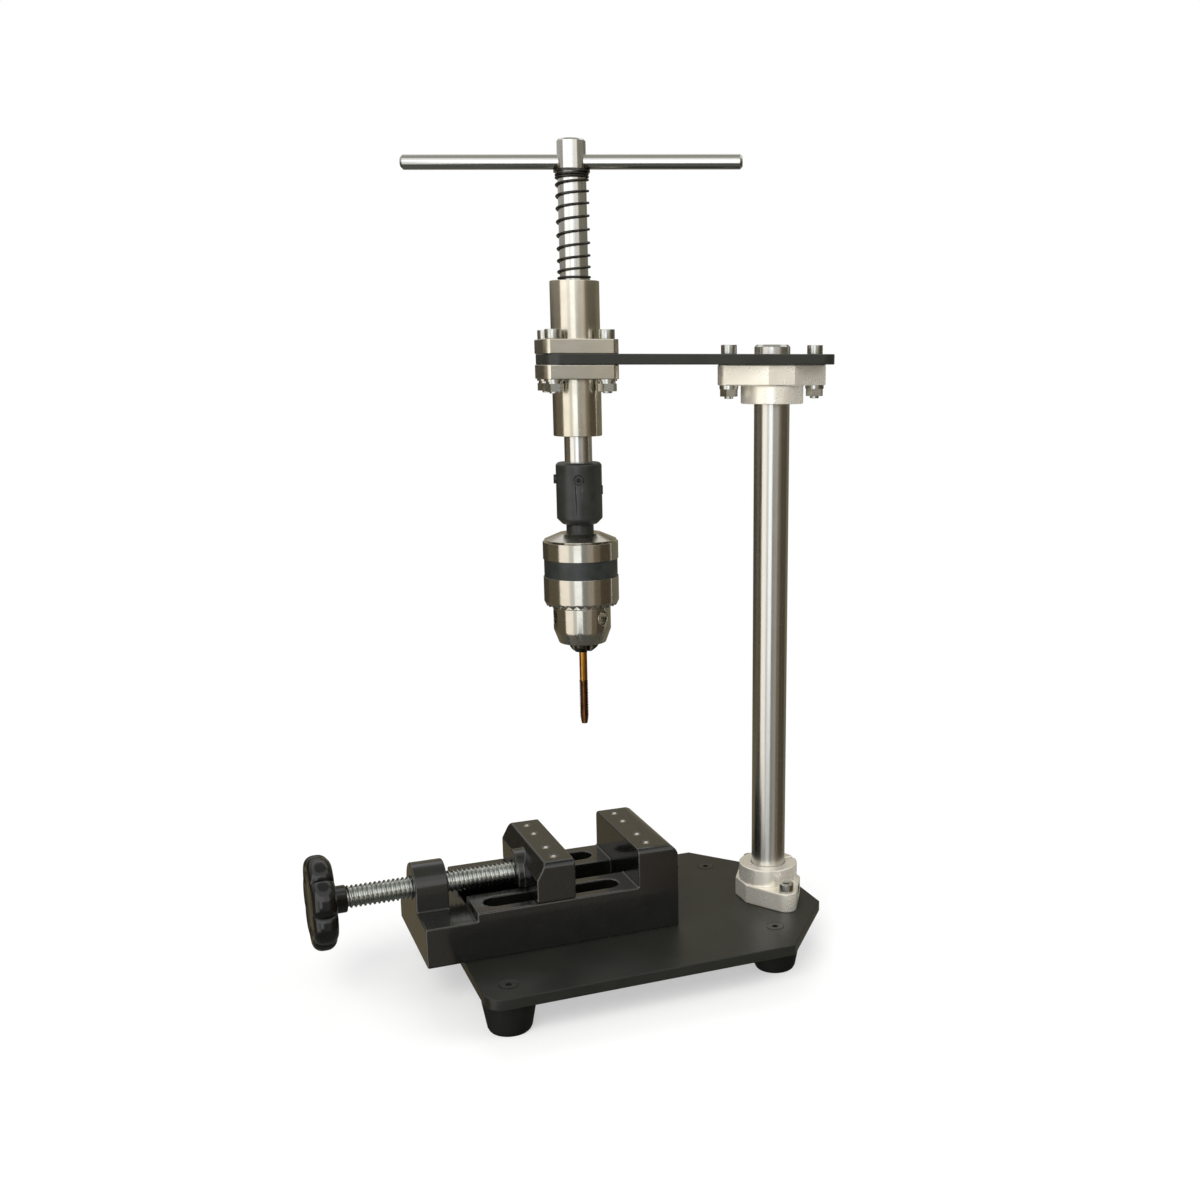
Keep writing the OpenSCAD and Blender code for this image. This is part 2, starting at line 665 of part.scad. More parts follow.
// The taper that holds the chuck
taper_share = 0.9;
chuck_taper_d = coupling_neck_d * taper_share;
chuck_socket_share = 0.55;
chuck_socket_l = (sleeve_top_h + band_h + sleeve_low_h) * chuck_socket_share;
coupling_edge_share = 0.05;
coupling_low_edge_share = 0.125;
module chuck_coupling() {
    edge = coupling_d * coupling_edge_share;
    low_edge = coupling_d * coupling_low_edge_share;
    color("#20211f") difference() {
        at_spindle(coupling_top_z) {
            at(0, 0, -edge) cylinder(d1 = coupling_d, d2 = coupling_d - 2 * edge, h = edge);
            at(0, 0, low_edge - coupling_l) cylinder(d = coupling_d, h = coupling_l - edge - low_edge);
            at(0, 0, -coupling_l)
                cylinder(d1 = coupling_d - 2 * low_edge, d2 = coupling_d, h = low_edge);
            at(0, 0, -coupling_l - coupling_neck_l) cylinder(d = coupling_neck_d, h = coupling_neck_l);
            at(0, 0, -coupling_l - coupling_neck_l - chuck_socket_l)
                cylinder(d1 = chuck_taper_d, d2 = coupling_neck_d, h = chuck_socket_l);
        }
        at_spindle(coupling_top_z - socket_depth)
            cylinder(d = spindle_d + 2 * fit, h = socket_depth + over);
        for (s = set_screws) at_spindle(coupling_top_z - s[1]) rotate([0, 0, s[0]]) along_x()
            cylinder(d = set_screw_d + 2 * fit, h = coupling_d);
    }
}
module coupling_set_screws() {
    proud_shares = [0, 0.25, 0.08];
    color("#2a2a28") for (i = [0 : len(set_screws) - 1]) {
        reach = coupling_d / 2 + proud_shares[i] * set_screw_d;
        at_spindle(coupling_top_z - set_screws[i][1]) rotate([0, 0, set_screws[i][0]])
            at(set_screw_reach, 0, 0) along_x() difference() {
                cylinder(d = set_screw_d, h = reach - set_screw_reach);
                at(0, 0, reach - set_screw_reach - set_screw_d / 2)
                    cylinder(d = set_screw_d / 2, h = set_screw_d, $fn = 6);
            }
    }
}

// Key chuck, heights measured down from its top
cap_h = 2.8;
cap_gap = 0.9;
sleeve_z = cap_h + cap_gap;
sleeve_h = sleeve_top_h + band_h + sleeve_low_h;
teeth_z = sleeve_z + sleeve_h;
nose_z = teeth_z + tooth_h;
nose_end_z = nose_z + nose_l;
core_step = 0.9;
core_d = nose_d - core_step;
cap_top_share = 0.57;
cap_edge_step = 1.2;
nose_taper_share = 0.38;
nose_end_share = 0.82;
nut_t = 2.8;
nut_h = 6;
nut_lift = 1;
nut_z = teeth_z - nut_h - nut_lift;
jaw_tip_out = 4.3;
jaw_tip_r = 3.9;
jaw_start_z = nose_end_z + jaw_tip_out;
nut_over_jaw = 0.7;
nut_in_d = 2 * (jaw_tip_r + (jaw_start_z - nut_z) * tan(jaw_tilt) + jaw_rod_d / 2 + nut_over_jaw);
nut_out_d = nut_in_d + 2 * nut_t;
grip_gap = 0.3;
grip_d = tap_shank_d + 2 * grip_gap;
chuck_bore_d = 10.6;
// The bore ends just above the tap's shank
tap_top_z = nut_z + nut_h;
tap_top_gap = 1;
key_hole_edge = 1.3;
key_hole_z = nose_z + key_hole_d / 2 + key_hole_edge;
key_hole_depth = 5;
// One key hole looks forward and a little to the right
key_hole_angles = [299, 59, 179];
jaw_angles = [for (a = key_hole_angles) a + 60];
module at_chuck() { at_spindle(chuck_top_z) mirror([0, 0, 1]) children(); }
// Rod along a jaw's sloping axis, from its tip upwards
module jaw_rod(angle, d, l, back) {
    rotate([0, 0, angle]) at(jaw_tip_r, 0, jaw_start_z) rotate([0, -jaw_tilt, 0])
        at(0, 0, -l) cylinder(d = d, h = l + back);
}
module chuck_body() {
    taper_l = nose_l * nose_taper_share;
    color("#bfbfba") difference() {
        at_chuck() {
            cylinder(d1 = sleeve_d * cap_top_share, d2 = sleeve_d - cap_edge_step, h = cap_h);
            at(0, 0, cap_h) cylinder(d = core_d, h = nose_z - cap_h);
            at(0, 0, nose_z) cylinder(d = nose_d, h = nose_l - taper_l);
            at(0, 0, nose_end_z - taper_l) cylinder(d1 = nose_d, d2 = nose_d * nose_end_share, h = taper_l);
        }
        at_chuck() {
            at(0, 0, -slide_gap) cylinder(d1 = coupling_neck_d + 2 * fit, d2 = chuck_taper_d + 2 * fit,
                h = chuck_socket_l + 2 * slide_gap);
            at(0, 0, tap_top_z - tap_top_gap) cylinder(d = chuck_bore_d, h = nose_l + nut_h + sleeve_h);
            for (a = jaw_angles) jaw_rod(a, jaw_rod_d + 2 * fit, jaw_rod_l + jaw_travel + over, over);
            at(0, 0, nut_z - slide_gap) difference() {
                cylinder(d = nut_out_d + 2 * over, h = nut_h + 2 * slide_gap);
                cylinder(d = nut_in_d - 2 * fit, h = nut_h + 2 * slide_gap);
            }
            for (a = key_hole_angles) rotate([0, 0, a])
                at(nose_d / 2 - key_hole_depth, 0, key_hole_z) along_x()
                    cylinder(d = key_hole_d, h = key_hole_depth + over);
        }
    }
}
notch_share = 0.8;
tooth_bevel_share = 0.45;
// Depth of the groove for the band, and of the band's face below the sleeve
band_seat = 1;
band_recess = 0.4;
module tooth_cuts() {
    pitch = 360 / tooth_count;
    notch = tooth_h * notch_share;
    for (i = [0 : tooth_count - 1]) rotate([0, 0, i * pitch])
        at(core_d / 2, 0, nose_z) rotate([0, 90, 0])
            cylinder(r = notch, h = sleeve_d, $fn = 4);
}
module chuck_sleeve() {
    bore = core_d + 2 * fit;
    bevel = tooth_h * tooth_bevel_share;
    color("#b9b7b1") at_chuck() difference() {
        union() {
            at(0, 0, sleeve_z) cylinder(d = sleeve_d, h = sleeve_h);
            at(0, 0, teeth_z) cylinder(d1 = sleeve_d, d2 = sleeve_d - 2 * bevel, h = tooth_h);
        }
        at(0, 0, 0) cylinder(d = bore, h = nose_z + over);
        at(0, 0, nut_z) cylinder(d = nut_out_d, h = nut_h);
        at(0, 0, sleeve_z + sleeve_top_h) difference() {
            cylinder(d = sleeve_d + over, h = band_h);
            cylinder(d = sleeve_d - 2 * band_seat, h = band_h);
        }
        at(0, 0, nose_z - slide_gap) cylinder(d = nose_d + 2 * fit, h = over);
        tooth_cuts();
    }
}
module chuck_band() {
    color("#2d302f") at_chuck() at(0, 0, sleeve_z + sleeve_top_h)
        tube(sleeve_d - 2 * band_recess, sleeve_d - 2 * band_seat, band_h);
}
module chuck_nut() {
    color("#8a8984") at_chuck() at(0, 0, nut_z) tube(nut_out_d, nut_in_d, nut_h);
}
// Cone over the tips of the jaws, as shares of the nose
jaw_cone_share = 0.75;
jaw_cone_end_share = 0.32;
module chuck_jaw(i) {
    color("#4a4844") at_chuck() difference() {
        intersection() {
            jaw_rod(jaw_angles[i], jaw_rod_d, jaw_rod_l, over);
            at(0, 0, jaw_start_z - jaw_rod_l - over) union() {
                cylinder(d = nose_d, h = jaw_rod_l + over - jaw_tip_out);
                at(0, 0, jaw_rod_l + over - jaw_tip_out)
                    cylinder(d1 = nose_d * jaw_cone_share, d2 = nose_d * jaw_cone_end_share, h = jaw_tip_out);
            }
        }
        cylinder(d = grip_d, h = jaw_start_z + over);
    }
}
module chuck_jaw_1() { chuck_jaw(0); }
module chuck_jaw_2() { chuck_jaw(1); }
module chuck_jaw_3() { chuck_jaw(2); }

// Tap: shank in the chuck, flutes on the threaded stretch, tapered tip
tap_end_z = jaw_start_z + tap_out;
tap_lead_share = 1.1;
tap_lead = tap_thread_d * tap_lead_share;
tap_flute_share = 0.42;
tap_flute_d = tap_thread_d * tap_flute_share;
tap_flute_out_share = 0.52;
tap_tip_share = 0.7;
module tap() {
    thread_z = tap_end_z - tap_thread_l;
    color("#a9742c") at_chuck() difference() {
        union() {
            at(0, 0, tap_top_z) cylinder(d = tap_shank_d, h = thread_z - tap_top_z);
            at(0, 0, thread_z) cylinder(d = tap_thread_d, h = tap_thread_l - tap_lead);
            at(0, 0, tap_end_z - tap_lead)
                cylinder(d1 = tap_thread_d, d2 = tap_thread_d * tap_tip_share, h = tap_lead);
        }
        for (a = [0 : 120 : 240]) rotate([0, 0, a])
            at(tap_thread_d * tap_flute_out_share, 0, thread_z + tap_flute_d / 2)
                cylinder(d = tap_flute_d, h = tap_thread_l + over);
    }
}

// Vise body: two rails, the fixed jaw at the right and the screw boss at the left
fixed_face_x = vise_x + vise_l - fixed_jaw_t;
moving_face_x = fixed_face_x - jaw_gap;
channel_l = vise_l - fixed_jaw_t - ledge_l;
keeper_over = 4;
keeper_w = channel_w + 2 * keeper_over;
keeper_top = 9;
keeper_t = 3;
recess_gap = 0.4;
recess_w = keeper_w + 2 * recess_gap;
// Room around the screw where it runs between the rails
screw_room = 2;
fixed_dimple_share = 0.66;
moving_dimple_share = 0.56;
lip_w = mount_screw_d + 2 * hole_gap;
lip_h = 6;
dimple_depth = dimple_d / 2;
dimple_shares = [-0.36, -0.16, 0.16, 0.36];
module slot(l, w, h) {
    for (side = [-1, 1]) at(side * (l - w) / 2, 0, 0) cylinder(d = w, h = h);
    translate([(w - l) / 2, -w / 2, 0]) cube([l - w, w, h]);
}
// Jaw block with rounded end edges, X from 0 to t, centred on Y
module jaw_block(t, low, high, r) {
    along_x() linear_extrude(t) {
        translate([-high + r, -vise_w / 2]) square([high - r - low, vise_w]);
        translate([-high, r - vise_w / 2]) square([r, vise_w - 2 * r]);
        for (side = [-1, 1]) translate([r - high, side * (vise_w / 2 - r)]) circle(r = r);
    }
}
module jaw_dimples(x) {
    for (share = dimple_shares) at(x, share * vise_w, vise_jaw_h) sphere(d = dimple_d);
}
module at_vise() { at(vise_x, vise_y, deck_z) children(); }
module vise_body() {
    slot_dx = slot_x - vise_x;
    color("#1b1b19") at_vise() difference() {
        union() {
            translate([0, -vise_w / 2, 0]) cube([vise_l, vise_w, ledge_h]);
            translate([ledge_l, -vise_w / 2, 0]) cube([vise_l - ledge_l, vise_w, rail_h]);
            at(vise_l - fixed_jaw_t, 0, 0) jaw_block(fixed_jaw_t, rail_h / 2, vise_jaw_h, jaw_end_r);
            at(0, 0, screw_up) along_x() cylinder(d = boss_d, h = boss_t);
            translate([0, -boss_d / 2, ledge_h / 2]) cube([boss_t, boss_d, screw_up - ledge_h / 2]);
        }
        at(-over, 0, screw_up) along_x() cylinder(d = screw_d + 2 * fit, h = boss_t + 2 * over);
        translate([ledge_l, -channel_w / 2, -over]) cube([channel_l, channel_w, rail_h + 2 * over]);
        translate([ledge_l, -recess_w / 2, -over]) cube([channel_l, recess_w, keeper_top + over]);
        at(boss_t, 0, screw_up) along_x() cylinder(d = screw_d + screw_room, h = channel_l);
        for (side = [-1, 1]) {
            at(slot_dx, side * slot_out, lip_h) slot(slot_l, slot_w, rail_h);
            at(slot_dx, side * slot_out, -over) slot(slot_l - slot_w + lip_w, lip_w, rail_h);
        }
        at(vise_l - fixed_jaw_r, -vise_w, vise_jaw_h - fixed_jaw_r) difference() {
            cube([2 * fixed_jaw_r, 2 * vise_w, 2 * fixed_jaw_r]);
            along_y() cylinder(r = fixed_jaw_r, h = 2 * vise_w);
        }
        jaw_dimples(vise_l - fixed_jaw_t * fixed_dimple_share);
    }
}
module vise_mount_screws() {
    color("#2b2b29") for (p = vise_mounts) at(p[0], p[1], deck_z + lip_h)
        cap_screw(mount_screw_d, lip_h + plate_t);
}

// Moving jaw with its tongue in the channel, X measured back from its face
jaw_bevel_w = 4;
jaw_bevel_h = 7.5;
tongue_w = channel_w - 2 * slide_gap;
tongue_in = 1;
// Round hub on the back of the jaw, around the screw
jaw_hub_step = 1;
jaw_hub_d = boss_d - jaw_hub_step;
jaw_hub_l = 3;
jaw_hub_depth = jaw_hub_l + moving_jaw_t / 2;
tongue_l = moving_jaw_t - 2 * tongue_in;
keeper_z = keeper_top - slide_gap;
jaw_hole_share = 0.6;
jaw_hole_l = moving_jaw_t * jaw_hole_share;
groove_w = 3;
groove_share = 0.7;
groove_d = screw_d * groove_share;
groove_in_share = 0.35;
groove_in = moving_jaw_t * groove_in_share;
pin_d = groove_w - 2 * slide_gap;
pin_off = groove_d / 2 + pin_d / 2 + slide_gap;
keeper_screw_d = 4;
keeper_screw_shares = [0.3, 0.7];
keeper_screw_x = [for (share = keeper_screw_shares) tongue_in + tongue_l * share];
flat_head_h_share = 0.6;
flat_head_d_share = 1.5;
module at_jaw() { at(moving_face_x - moving_jaw_t, vise_y, deck_z) children(); }
module vise_moving_jaw() {
    bevel_turn = atan2(jaw_bevel_h, jaw_bevel_w);
    color("#1b1b19") at_jaw() difference() {
        union() {
            difference() {
                jaw_block(moving_jaw_t, rail_h + slide_gap, vise_jaw_h, jaw_end_r);
                translate([0, -vise_w, vise_jaw_h]) rotate([0, 90 - bevel_turn, 0])
                    translate([-moving_jaw_t, 0, -2 * jaw_bevel_h])
                        cube([moving_jaw_t + jaw_bevel_w * sin(bevel_turn), 2 * vise_w, 4 * jaw_bevel_h]);
            }
            translate([tongue_in, -tongue_w / 2, keeper_z])
                cube([tongue_l, tongue_w, rail_h - keeper_z + over]);
            intersection() {
                at(-jaw_hub_l, 0, screw_up) along_x() cylinder(d = jaw_hub_d, h = jaw_hub_depth);
                translate([-jaw_hub_l, -vise_w / 2, rail_h + slide_gap]) cube([vise_l, vise_w, vise_jaw_h]);
            }
        }
        at(-jaw_hub_l - over, 0, screw_up) along_x()
            cylinder(d = screw_d + 2 * fit, h = jaw_hole_l + jaw_hub_l + over);
        at(groove_in, pin_off, keeper_z - over)
            cylinder(d = pin_d + 2 * fit, h = screw_up + pin_d - keeper_z + over);
        for (x = keeper_screw_x) at(x, 0, keeper_z - over)
            cylinder(d = keeper_screw_d + 2 * fit, h = keeper_top / 2 + over);
        jaw_dimples(moving_jaw_t * moving_dimple_share);
    }
}
module jaw_keeper_plate() {
    color("#3b3a37") at_jaw() difference() {
        translate([tongue_in, -keeper_w / 2, keeper_z - keeper_t]) cube([tongue_l, keeper_w, keeper_t]);
        for (x = keeper_screw_x) at(x, 0, keeper_z - keeper_t - over)
            cylinder(d = keeper_screw_d + 2 * hole_gap, h = keeper_t + 2 * over);
    }
}
module jaw_keeper_screws() {
    head_h = keeper_screw_d * flat_head_h_share;
    color("#8f8f8b") at_jaw() for (x = keeper_screw_x) at(x, 0, keeper_z - keeper_t) {
        at(0, 0, -head_h) cylinder(d = keeper_screw_d * flat_head_d_share, h = head_h);
        cylinder(d = keeper_screw_d, h = keeper_t + keeper_top / 3);
    }
}
module screw_retaining_pin() {
    color("#8f8f8b") at_jaw() at(groove_in, pin_off, keeper_z)
        cylinder(d = pin_d, h = screw_up + pin_d / 2 - keeper_z);
}

// Vise screw from its tip in the moving jaw to the knob
screw_tip_x = moving_face_x - moving_jaw_t + jaw_hole_l - slide_gap;
knob_x = vise_x - screw_out - knob_collar_l;
module at_screw(x) { at(x, vise_y, screw_z) along_x() children(); }
module vise_screw() {
    groove_x = moving_face_x - moving_jaw_t + groove_in - groove_w / 2;
    color("#c3c7c6") difference() {
        at_screw(knob_x - knob_t / 2) cylinder(d = screw_d, h = screw_tip_x - knob_x + knob_t / 2);
        at_screw(groove_x) tube(screw_d + over, groove_d, groove_w);
    }
}
lobe_step_count = 14;
valley_share = 0.86;
lobe_power_share = 0.55;
collar_share = 1.2;
function knob_r(turn) = knob_d / 2
    * (valley_share + (1 - valley_share) * pow(abs(cos(turn * knob_lobes / 2)), lobe_power_share));
module knob_outline() {
    steps = knob_lobes * lobe_step_count;
    polygon([for (i = [0 : steps - 1]) let (a = i * 360 / steps) knob_r(a) * [cos(a), sin(a)]]);
}
module vise_knob() {
    color("#171716") difference() {
        union() {
            at_screw(knob_x - knob_t) linear_extrude(knob_t) knob_outline();
            at_screw(knob_x) cylinder(d = screw_d * collar_share, h = knob_collar_l);
        }
        at_screw(knob_x - knob_t / 2) cylinder(d = screw_d + 2 * fit, h = knob_t + knob_collar_l);
    }
}

base_plate();
foot_front_left();
foot_front_right();
foot_rear_left();
foot_rear_right();
foot_screws();
foot_nuts();
base_flange();
base_flange_screws();
base_clamp_screw();
vise_body();
vise_mount_screws();
column();
arm_plate();
arm_flange();
arm_flange_screws();
arm_flange_washers();
arm_flange_nuts();
arm_clamp_screw();
upper_bearing();
lower_bearing();
bearing_cages();
bearing_seals();
bearing_screws();
bearing_washers();
bearing_nuts();
return_spring();
spring_washer();
spindle_shaft();
cross_bar();
chuck_coupling();
coupling_set_screws();
chuck_body();
tap();
chuck_sleeve();
chuck_band();
chuck_nut();
chuck_jaw_1();
chuck_jaw_2();
chuck_jaw_3();
vise_moving_jaw();
jaw_keeper_plate();
jaw_keeper_screws();
screw_retaining_pin();
vise_screw();
vise_knob();
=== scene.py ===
"""Look of the hand tapping stand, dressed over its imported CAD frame.

Metres, in the frame of the CAD model: +X along the vise screw, +Y to the back, +Z up.
"""

import logging
import math
from dataclasses import dataclass, field
from enum import Enum
from typing import Iterable, Sequence

import bpy
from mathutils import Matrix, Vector


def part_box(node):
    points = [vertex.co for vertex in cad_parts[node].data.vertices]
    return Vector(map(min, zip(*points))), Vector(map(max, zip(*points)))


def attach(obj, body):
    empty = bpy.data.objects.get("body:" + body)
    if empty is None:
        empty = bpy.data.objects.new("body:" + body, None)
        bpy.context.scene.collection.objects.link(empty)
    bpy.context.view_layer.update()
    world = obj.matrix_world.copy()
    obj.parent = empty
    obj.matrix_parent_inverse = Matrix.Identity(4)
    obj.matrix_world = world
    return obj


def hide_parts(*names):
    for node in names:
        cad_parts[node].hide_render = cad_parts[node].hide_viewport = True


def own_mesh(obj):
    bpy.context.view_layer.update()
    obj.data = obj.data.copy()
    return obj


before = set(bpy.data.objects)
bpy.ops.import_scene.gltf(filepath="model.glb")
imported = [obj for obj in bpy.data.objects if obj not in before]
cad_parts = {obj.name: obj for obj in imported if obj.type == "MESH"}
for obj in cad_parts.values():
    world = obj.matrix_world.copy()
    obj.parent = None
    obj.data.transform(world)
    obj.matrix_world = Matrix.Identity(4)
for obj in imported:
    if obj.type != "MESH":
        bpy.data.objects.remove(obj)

LOG = logging.getLogger("tapping_stand")
MM = 0.001
Point = tuple[float, float, float]

# Blender's noise, and the sum of two, stay mostly between these values, which stand for the full range
NOISE_RANGE = (0.35, 0.65)
NOISE_SUM_RANGE = (0.6, 1.4)
# Octaves of the fine grain and of the slow drift of colour
GRAIN_DETAIL = 1.5
MOTTLE_DETAIL = 4.0
LEAST_ROUGHNESS = 0.02
# A quarter turn lays the blur of a turned piece along its axis
BLUR_TURN = 0.25
# Cosine between the true and the rounded normal where rubbing begins, and where it is full
RUB_TURN = (0.98, 0.86)
RUB_SAMPLES = 4
# One rubbed patch: its width, its octaves, the noise between which it fades in, and how far a full
# share of wear moves that
RUB_PATCH_MM = 2.5
RUB_DETAIL = 5.0
RUB_FADE = (0.62, 0.72)
RUB_SHIFT = 0.3
# Modifiers of a kept CAD node: points closer than the first are one, faces flatter than the second are
# one, edges sharper than the third are rounded, and large faces rule the shading by the fourth
WELD_MM = 0.002
COPLANAR_DEG = 0.4
SHARP_EDGE_DEG = 34.0
EVEN_WEIGHT = 90


def linear(hex_colour: str) -> tuple[float, float, float, float]:
    """Turns an sRGB hex colour into linear light.

    Args:
        hex_colour: Six hex digits with a leading #.

    Returns:
        Linear red, green, blue and an alpha of one.
    """
    parts = [int(hex_colour[i : i + 2], 16) / 255 for i in (1, 3, 5)]
    light = [c / 12.92 if c <= 0.04045 else ((c + 0.055) / 1.055) ** 2.4 for c in parts]
    return (light[0], light[1], light[2], 1.0)


def per_mm(size: float) -> float:
    """Gives the texture scale at which one feature is that many millimetres wide."""
    return 1 / (size * MM)


def add_node(
    tree: bpy.types.NodeTree, kind: str, inputs: dict | None = None, **settings: object
) -> bpy.types.Node:
    """Adds one shader node with its settings, values and links.

    Args:
        tree: The node tree that gets the node.
        kind: The node's type name after "ShaderNode".
        inputs: Input name or number to a value, or to the output that feeds it.
        **settings: Attributes of the node itself.

    Returns:
        The new node.
    """
    node = tree.nodes.new("ShaderNode" + kind)
    for name, value in settings.items():
        setattr(node, name, value)
    for key, value in (inputs or {}).items():
        if isinstance(value, bpy.types.NodeSocket):
            tree.links.new(value, node.inputs[key])
        else:
            node.inputs[key].default_value = value
    return node


def empty_tree(owner: bpy.types.Material | bpy.types.World) -> bpy.types.NodeTree:
    """Switches a material or world to nodes.

    Args:
        owner: The material or world.

    Returns:
        Its node tree, emptied.
    """
    owner.use_nodes = True
    owner.node_tree.nodes.clear()
    return owner.node_tree


def circle(first: float, second: float, radius: float, sides: int) -> list[tuple[float, float]]:
    """Gives the points of a circle in its own plane.

    Args:
        first: Its middle along the plane's first axis.
        second: Its middle along the plane's second axis.
        radius: Its radius.
        sides: How many points it has.

    Returns:
        Pairs of places, evenly spaced from the first axis towards the second.
    """
    turns = [2 * math.pi * k / sides for k in range(sides)]
    return [(first + radius * math.cos(turn), second + radius * math.sin(turn)) for turn in turns]


class Grain(Enum):
    """How a surface was made: the stretch of its fine texture along X, Y and Z."""

    EVEN = (1.0, 1.0, 1.0)
    TURNED_Z = (0.04, 0.04, 1.0)


@dataclass(frozen=True)
class Finish:
    """One surface finish, built as a procedural material.

    Attributes:
        name: The real material and how its surface was made.
        slot: Name of the material slot that it stands for; not used.
        colour: Body colour, or reflection colour of a metal.
        roughness: Mean roughness.
        metallic: One for bare or plated metal.
        ior: Index of refraction; metals keep the default.
        coat: Strength of a clear or glossy top layer.
        grain: Direction of the fine texture.
        grain_mm: Width of one grain.
        relief_mm: Height of the grain.
        mottle_colour: Second colour that the slow variation goes to.
        mottle_mm: Width of one patch of the slow variation.
        rough_spread: How far roughness wanders to each side.
        wear_colour: Colour of rubbed edges, or nothing.
        wear_mm: Width of the rubbed band along an edge.
        wear_share: How much of the edges is rubbed.
        axis_blur: How much more a turned piece blurs along Z than round it.
        coat_roughness: Roughness of the top layer.
        worn_metallic: How metallic a rubbed edge looks.
    """

    name: str
    slot: str
    colour: str
    roughness: float
    metallic: float = 0.0
    ior: float = 1.5
    coat: float = 0.0
    grain: Grain = Grain.EVEN
    grain_mm: float = 0.4
    relief_mm: float = 0.01
    mottle_colour: str = ""
    mottle_mm: float = 12.0
    rough_spread: float = 0.05
    wear_colour: str = ""
    wear_mm: float = 0.5
    wear_share: float = 0.5
    axis_blur: float = 0.0
    coat_roughness: float = 0.08
    worn_metallic: float = 0.7

    def material(self) -> bpy.types.Material:
        """Builds the material on the first call.

        Returns:
            The material, the same one on every call.
        """
        found = bpy.data.materials.get(self.name)
        if found:
            return found
        material = bpy.data.materials.new(self.name)
        tree = empty_tree(material)
        place = add_node(tree, "TexCoord").outputs["Object"]
        stretch = add_node(tree, "Mapping", {"Vector": place, "Scale": self.grain.value})
        fine = add_node(tree, "TexNoise", {
            "Vector": stretch.outputs[0], "Scale": per_mm(self.grain_mm), "Detail": GRAIN_DETAIL,
        }).outputs["Fac"]
        slow = add_node(tree, "TexNoise", {
            "Vector": place, "Scale": per_mm(self.mottle_mm), "Detail": MOTTLE_DETAIL,
        }).outputs["Fac"]
        colour = self._colour(tree, slow)
        rough = self._roughness(tree, fine, slow)
        metallic = self.metallic
        if self.wear_colour:
            worn = self._worn_edges(tree, place)
            colour = add_node(tree, "Mix", {
                "Factor": worn, 6: colour, 7: linear(self.wear_colour),
            }, data_type="RGBA").outputs[2]
            metallic = add_node(tree, "Math", {
                0: worn, 1: self.worn_metallic,
            }, operation="MULTIPLY").outputs[0]
        bump = add_node(tree, "Bump", {"Height": fine, "Distance": self.relief_mm * MM, "Strength": 1.0})
        shader = add_node(tree, "BsdfPrincipled", {
            "Base Color": colour, "Metallic": metallic, "Roughness": rough, "IOR": self.ior,
            "Coat Weight": self.coat, "Coat Roughness": self.coat_roughness, "Normal": bump.outputs[0],
            "Anisotropic": self.axis_blur, "Anisotropic Rotation": BLUR_TURN,
        })
        if self.axis_blur:
            around = add_node(tree, "Tangent", direction_type="RADIAL", axis="Z")
            tree.links.new(around.outputs[0], shader.inputs["Tangent"])
        add_node(tree, "OutputMaterial", {"Surface": shader.outputs[0]})
        return material

    def _colour(self, tree: bpy.types.NodeTree, slow: bpy.types.NodeSocket) -> bpy.types.NodeSocket:
        """Adds the slow drift of colour.

        Args:
            tree: The material's node tree.
            slow: The slow noise.

        Returns:
            The output that carries the colour.
        """
        spread = add_node(tree, "MapRange", {
            "Value": slow, "From Min": NOISE_RANGE[0], "From Max": NOISE_RANGE[1],
        })
        second = linear(self.mottle_colour or self.colour)
        return add_node(tree, "Mix", {
            "Factor": spread.outputs[0], 6: linear(self.colour), 7: second,
        }, data_type="RGBA").outputs[2]

    def _roughness(
        self, tree: bpy.types.NodeTree, fine: bpy.types.NodeSocket, slow: bpy.types.NodeSocket
    ) -> bpy.types.NodeSocket:
        """Adds the roughness, which wanders with grain and handling.

        Args:
            tree: The material's node tree.
            fine: The fine noise.
            slow: The slow noise.

        Returns:
            The output that carries the roughness.
        """
        both = add_node(tree, "Math", {0: fine, 1: slow}, operation="ADD")
        return add_node(tree, "MapRange", {
            "Value": both.outputs[0], "From Min": NOISE_SUM_RANGE[0], "From Max": NOISE_SUM_RANGE[1],
            "To Min": max(LEAST_ROUGHNESS, self.roughness - self.rough_spread),
            "To Max": self.roughness + self.rough_spread,
        }).outputs[0]

    def _worn_edges(self, tree: bpy.types.NodeTree, place: bpy.types.NodeSocket) -> bpy.types.NodeSocket:
        """Adds the mask of edges rubbed through to the metal.

        Args:
            tree: The material's node tree.
            place: Place on the piece.

        Returns:
            The output that is one on a rubbed edge.
        """
        soft = add_node(tree, "Bevel", {"Radius": self.wear_mm * MM}, samples=RUB_SAMPLES)
        sharp = add_node(tree, "NewGeometry").outputs["Normal"]
        turn = add_node(tree, "VectorMath", {0: soft.outputs[0], 1: sharp}, operation="DOT_PRODUCT")
        edge = add_node(tree, "MapRange", {
            "Value": turn.outputs["Value"], "From Min": RUB_TURN[0], "From Max": RUB_TURN[1],
        })
        patches = add_node(tree, "TexNoise", {
            "Vector": place, "Scale": per_mm(RUB_PATCH_MM), "Detail": RUB_DETAIL,
        })
        rubbed = add_node(tree, "MapRange", {
            "Value": patches.outputs["Fac"], "From Min": RUB_FADE[0] - RUB_SHIFT * self.wear_share,
            "From Max": RUB_FADE[1] - RUB_SHIFT * self.wear_share,
        })
        both = add_node(tree, "Math", {0: edge.outputs[0], 1: rubbed.outputs[0]}, operation="MULTIPLY")
        return both.outputs[0]


# Steel sheet under satin powder coat: soft black that greys at a flat angle, pebbled every 0.6 mm
PLATE_COAT = Finish(
    "powder_coated_steel_sheet", "base_paint", "#181915", 0.36, ior=1.45, grain_mm=0.6, relief_mm=0.012,
    mottle_colour="#20211c", mottle_mm=30, wear_colour="#4a4943", wear_mm=0.4, wear_share=0.2,
)
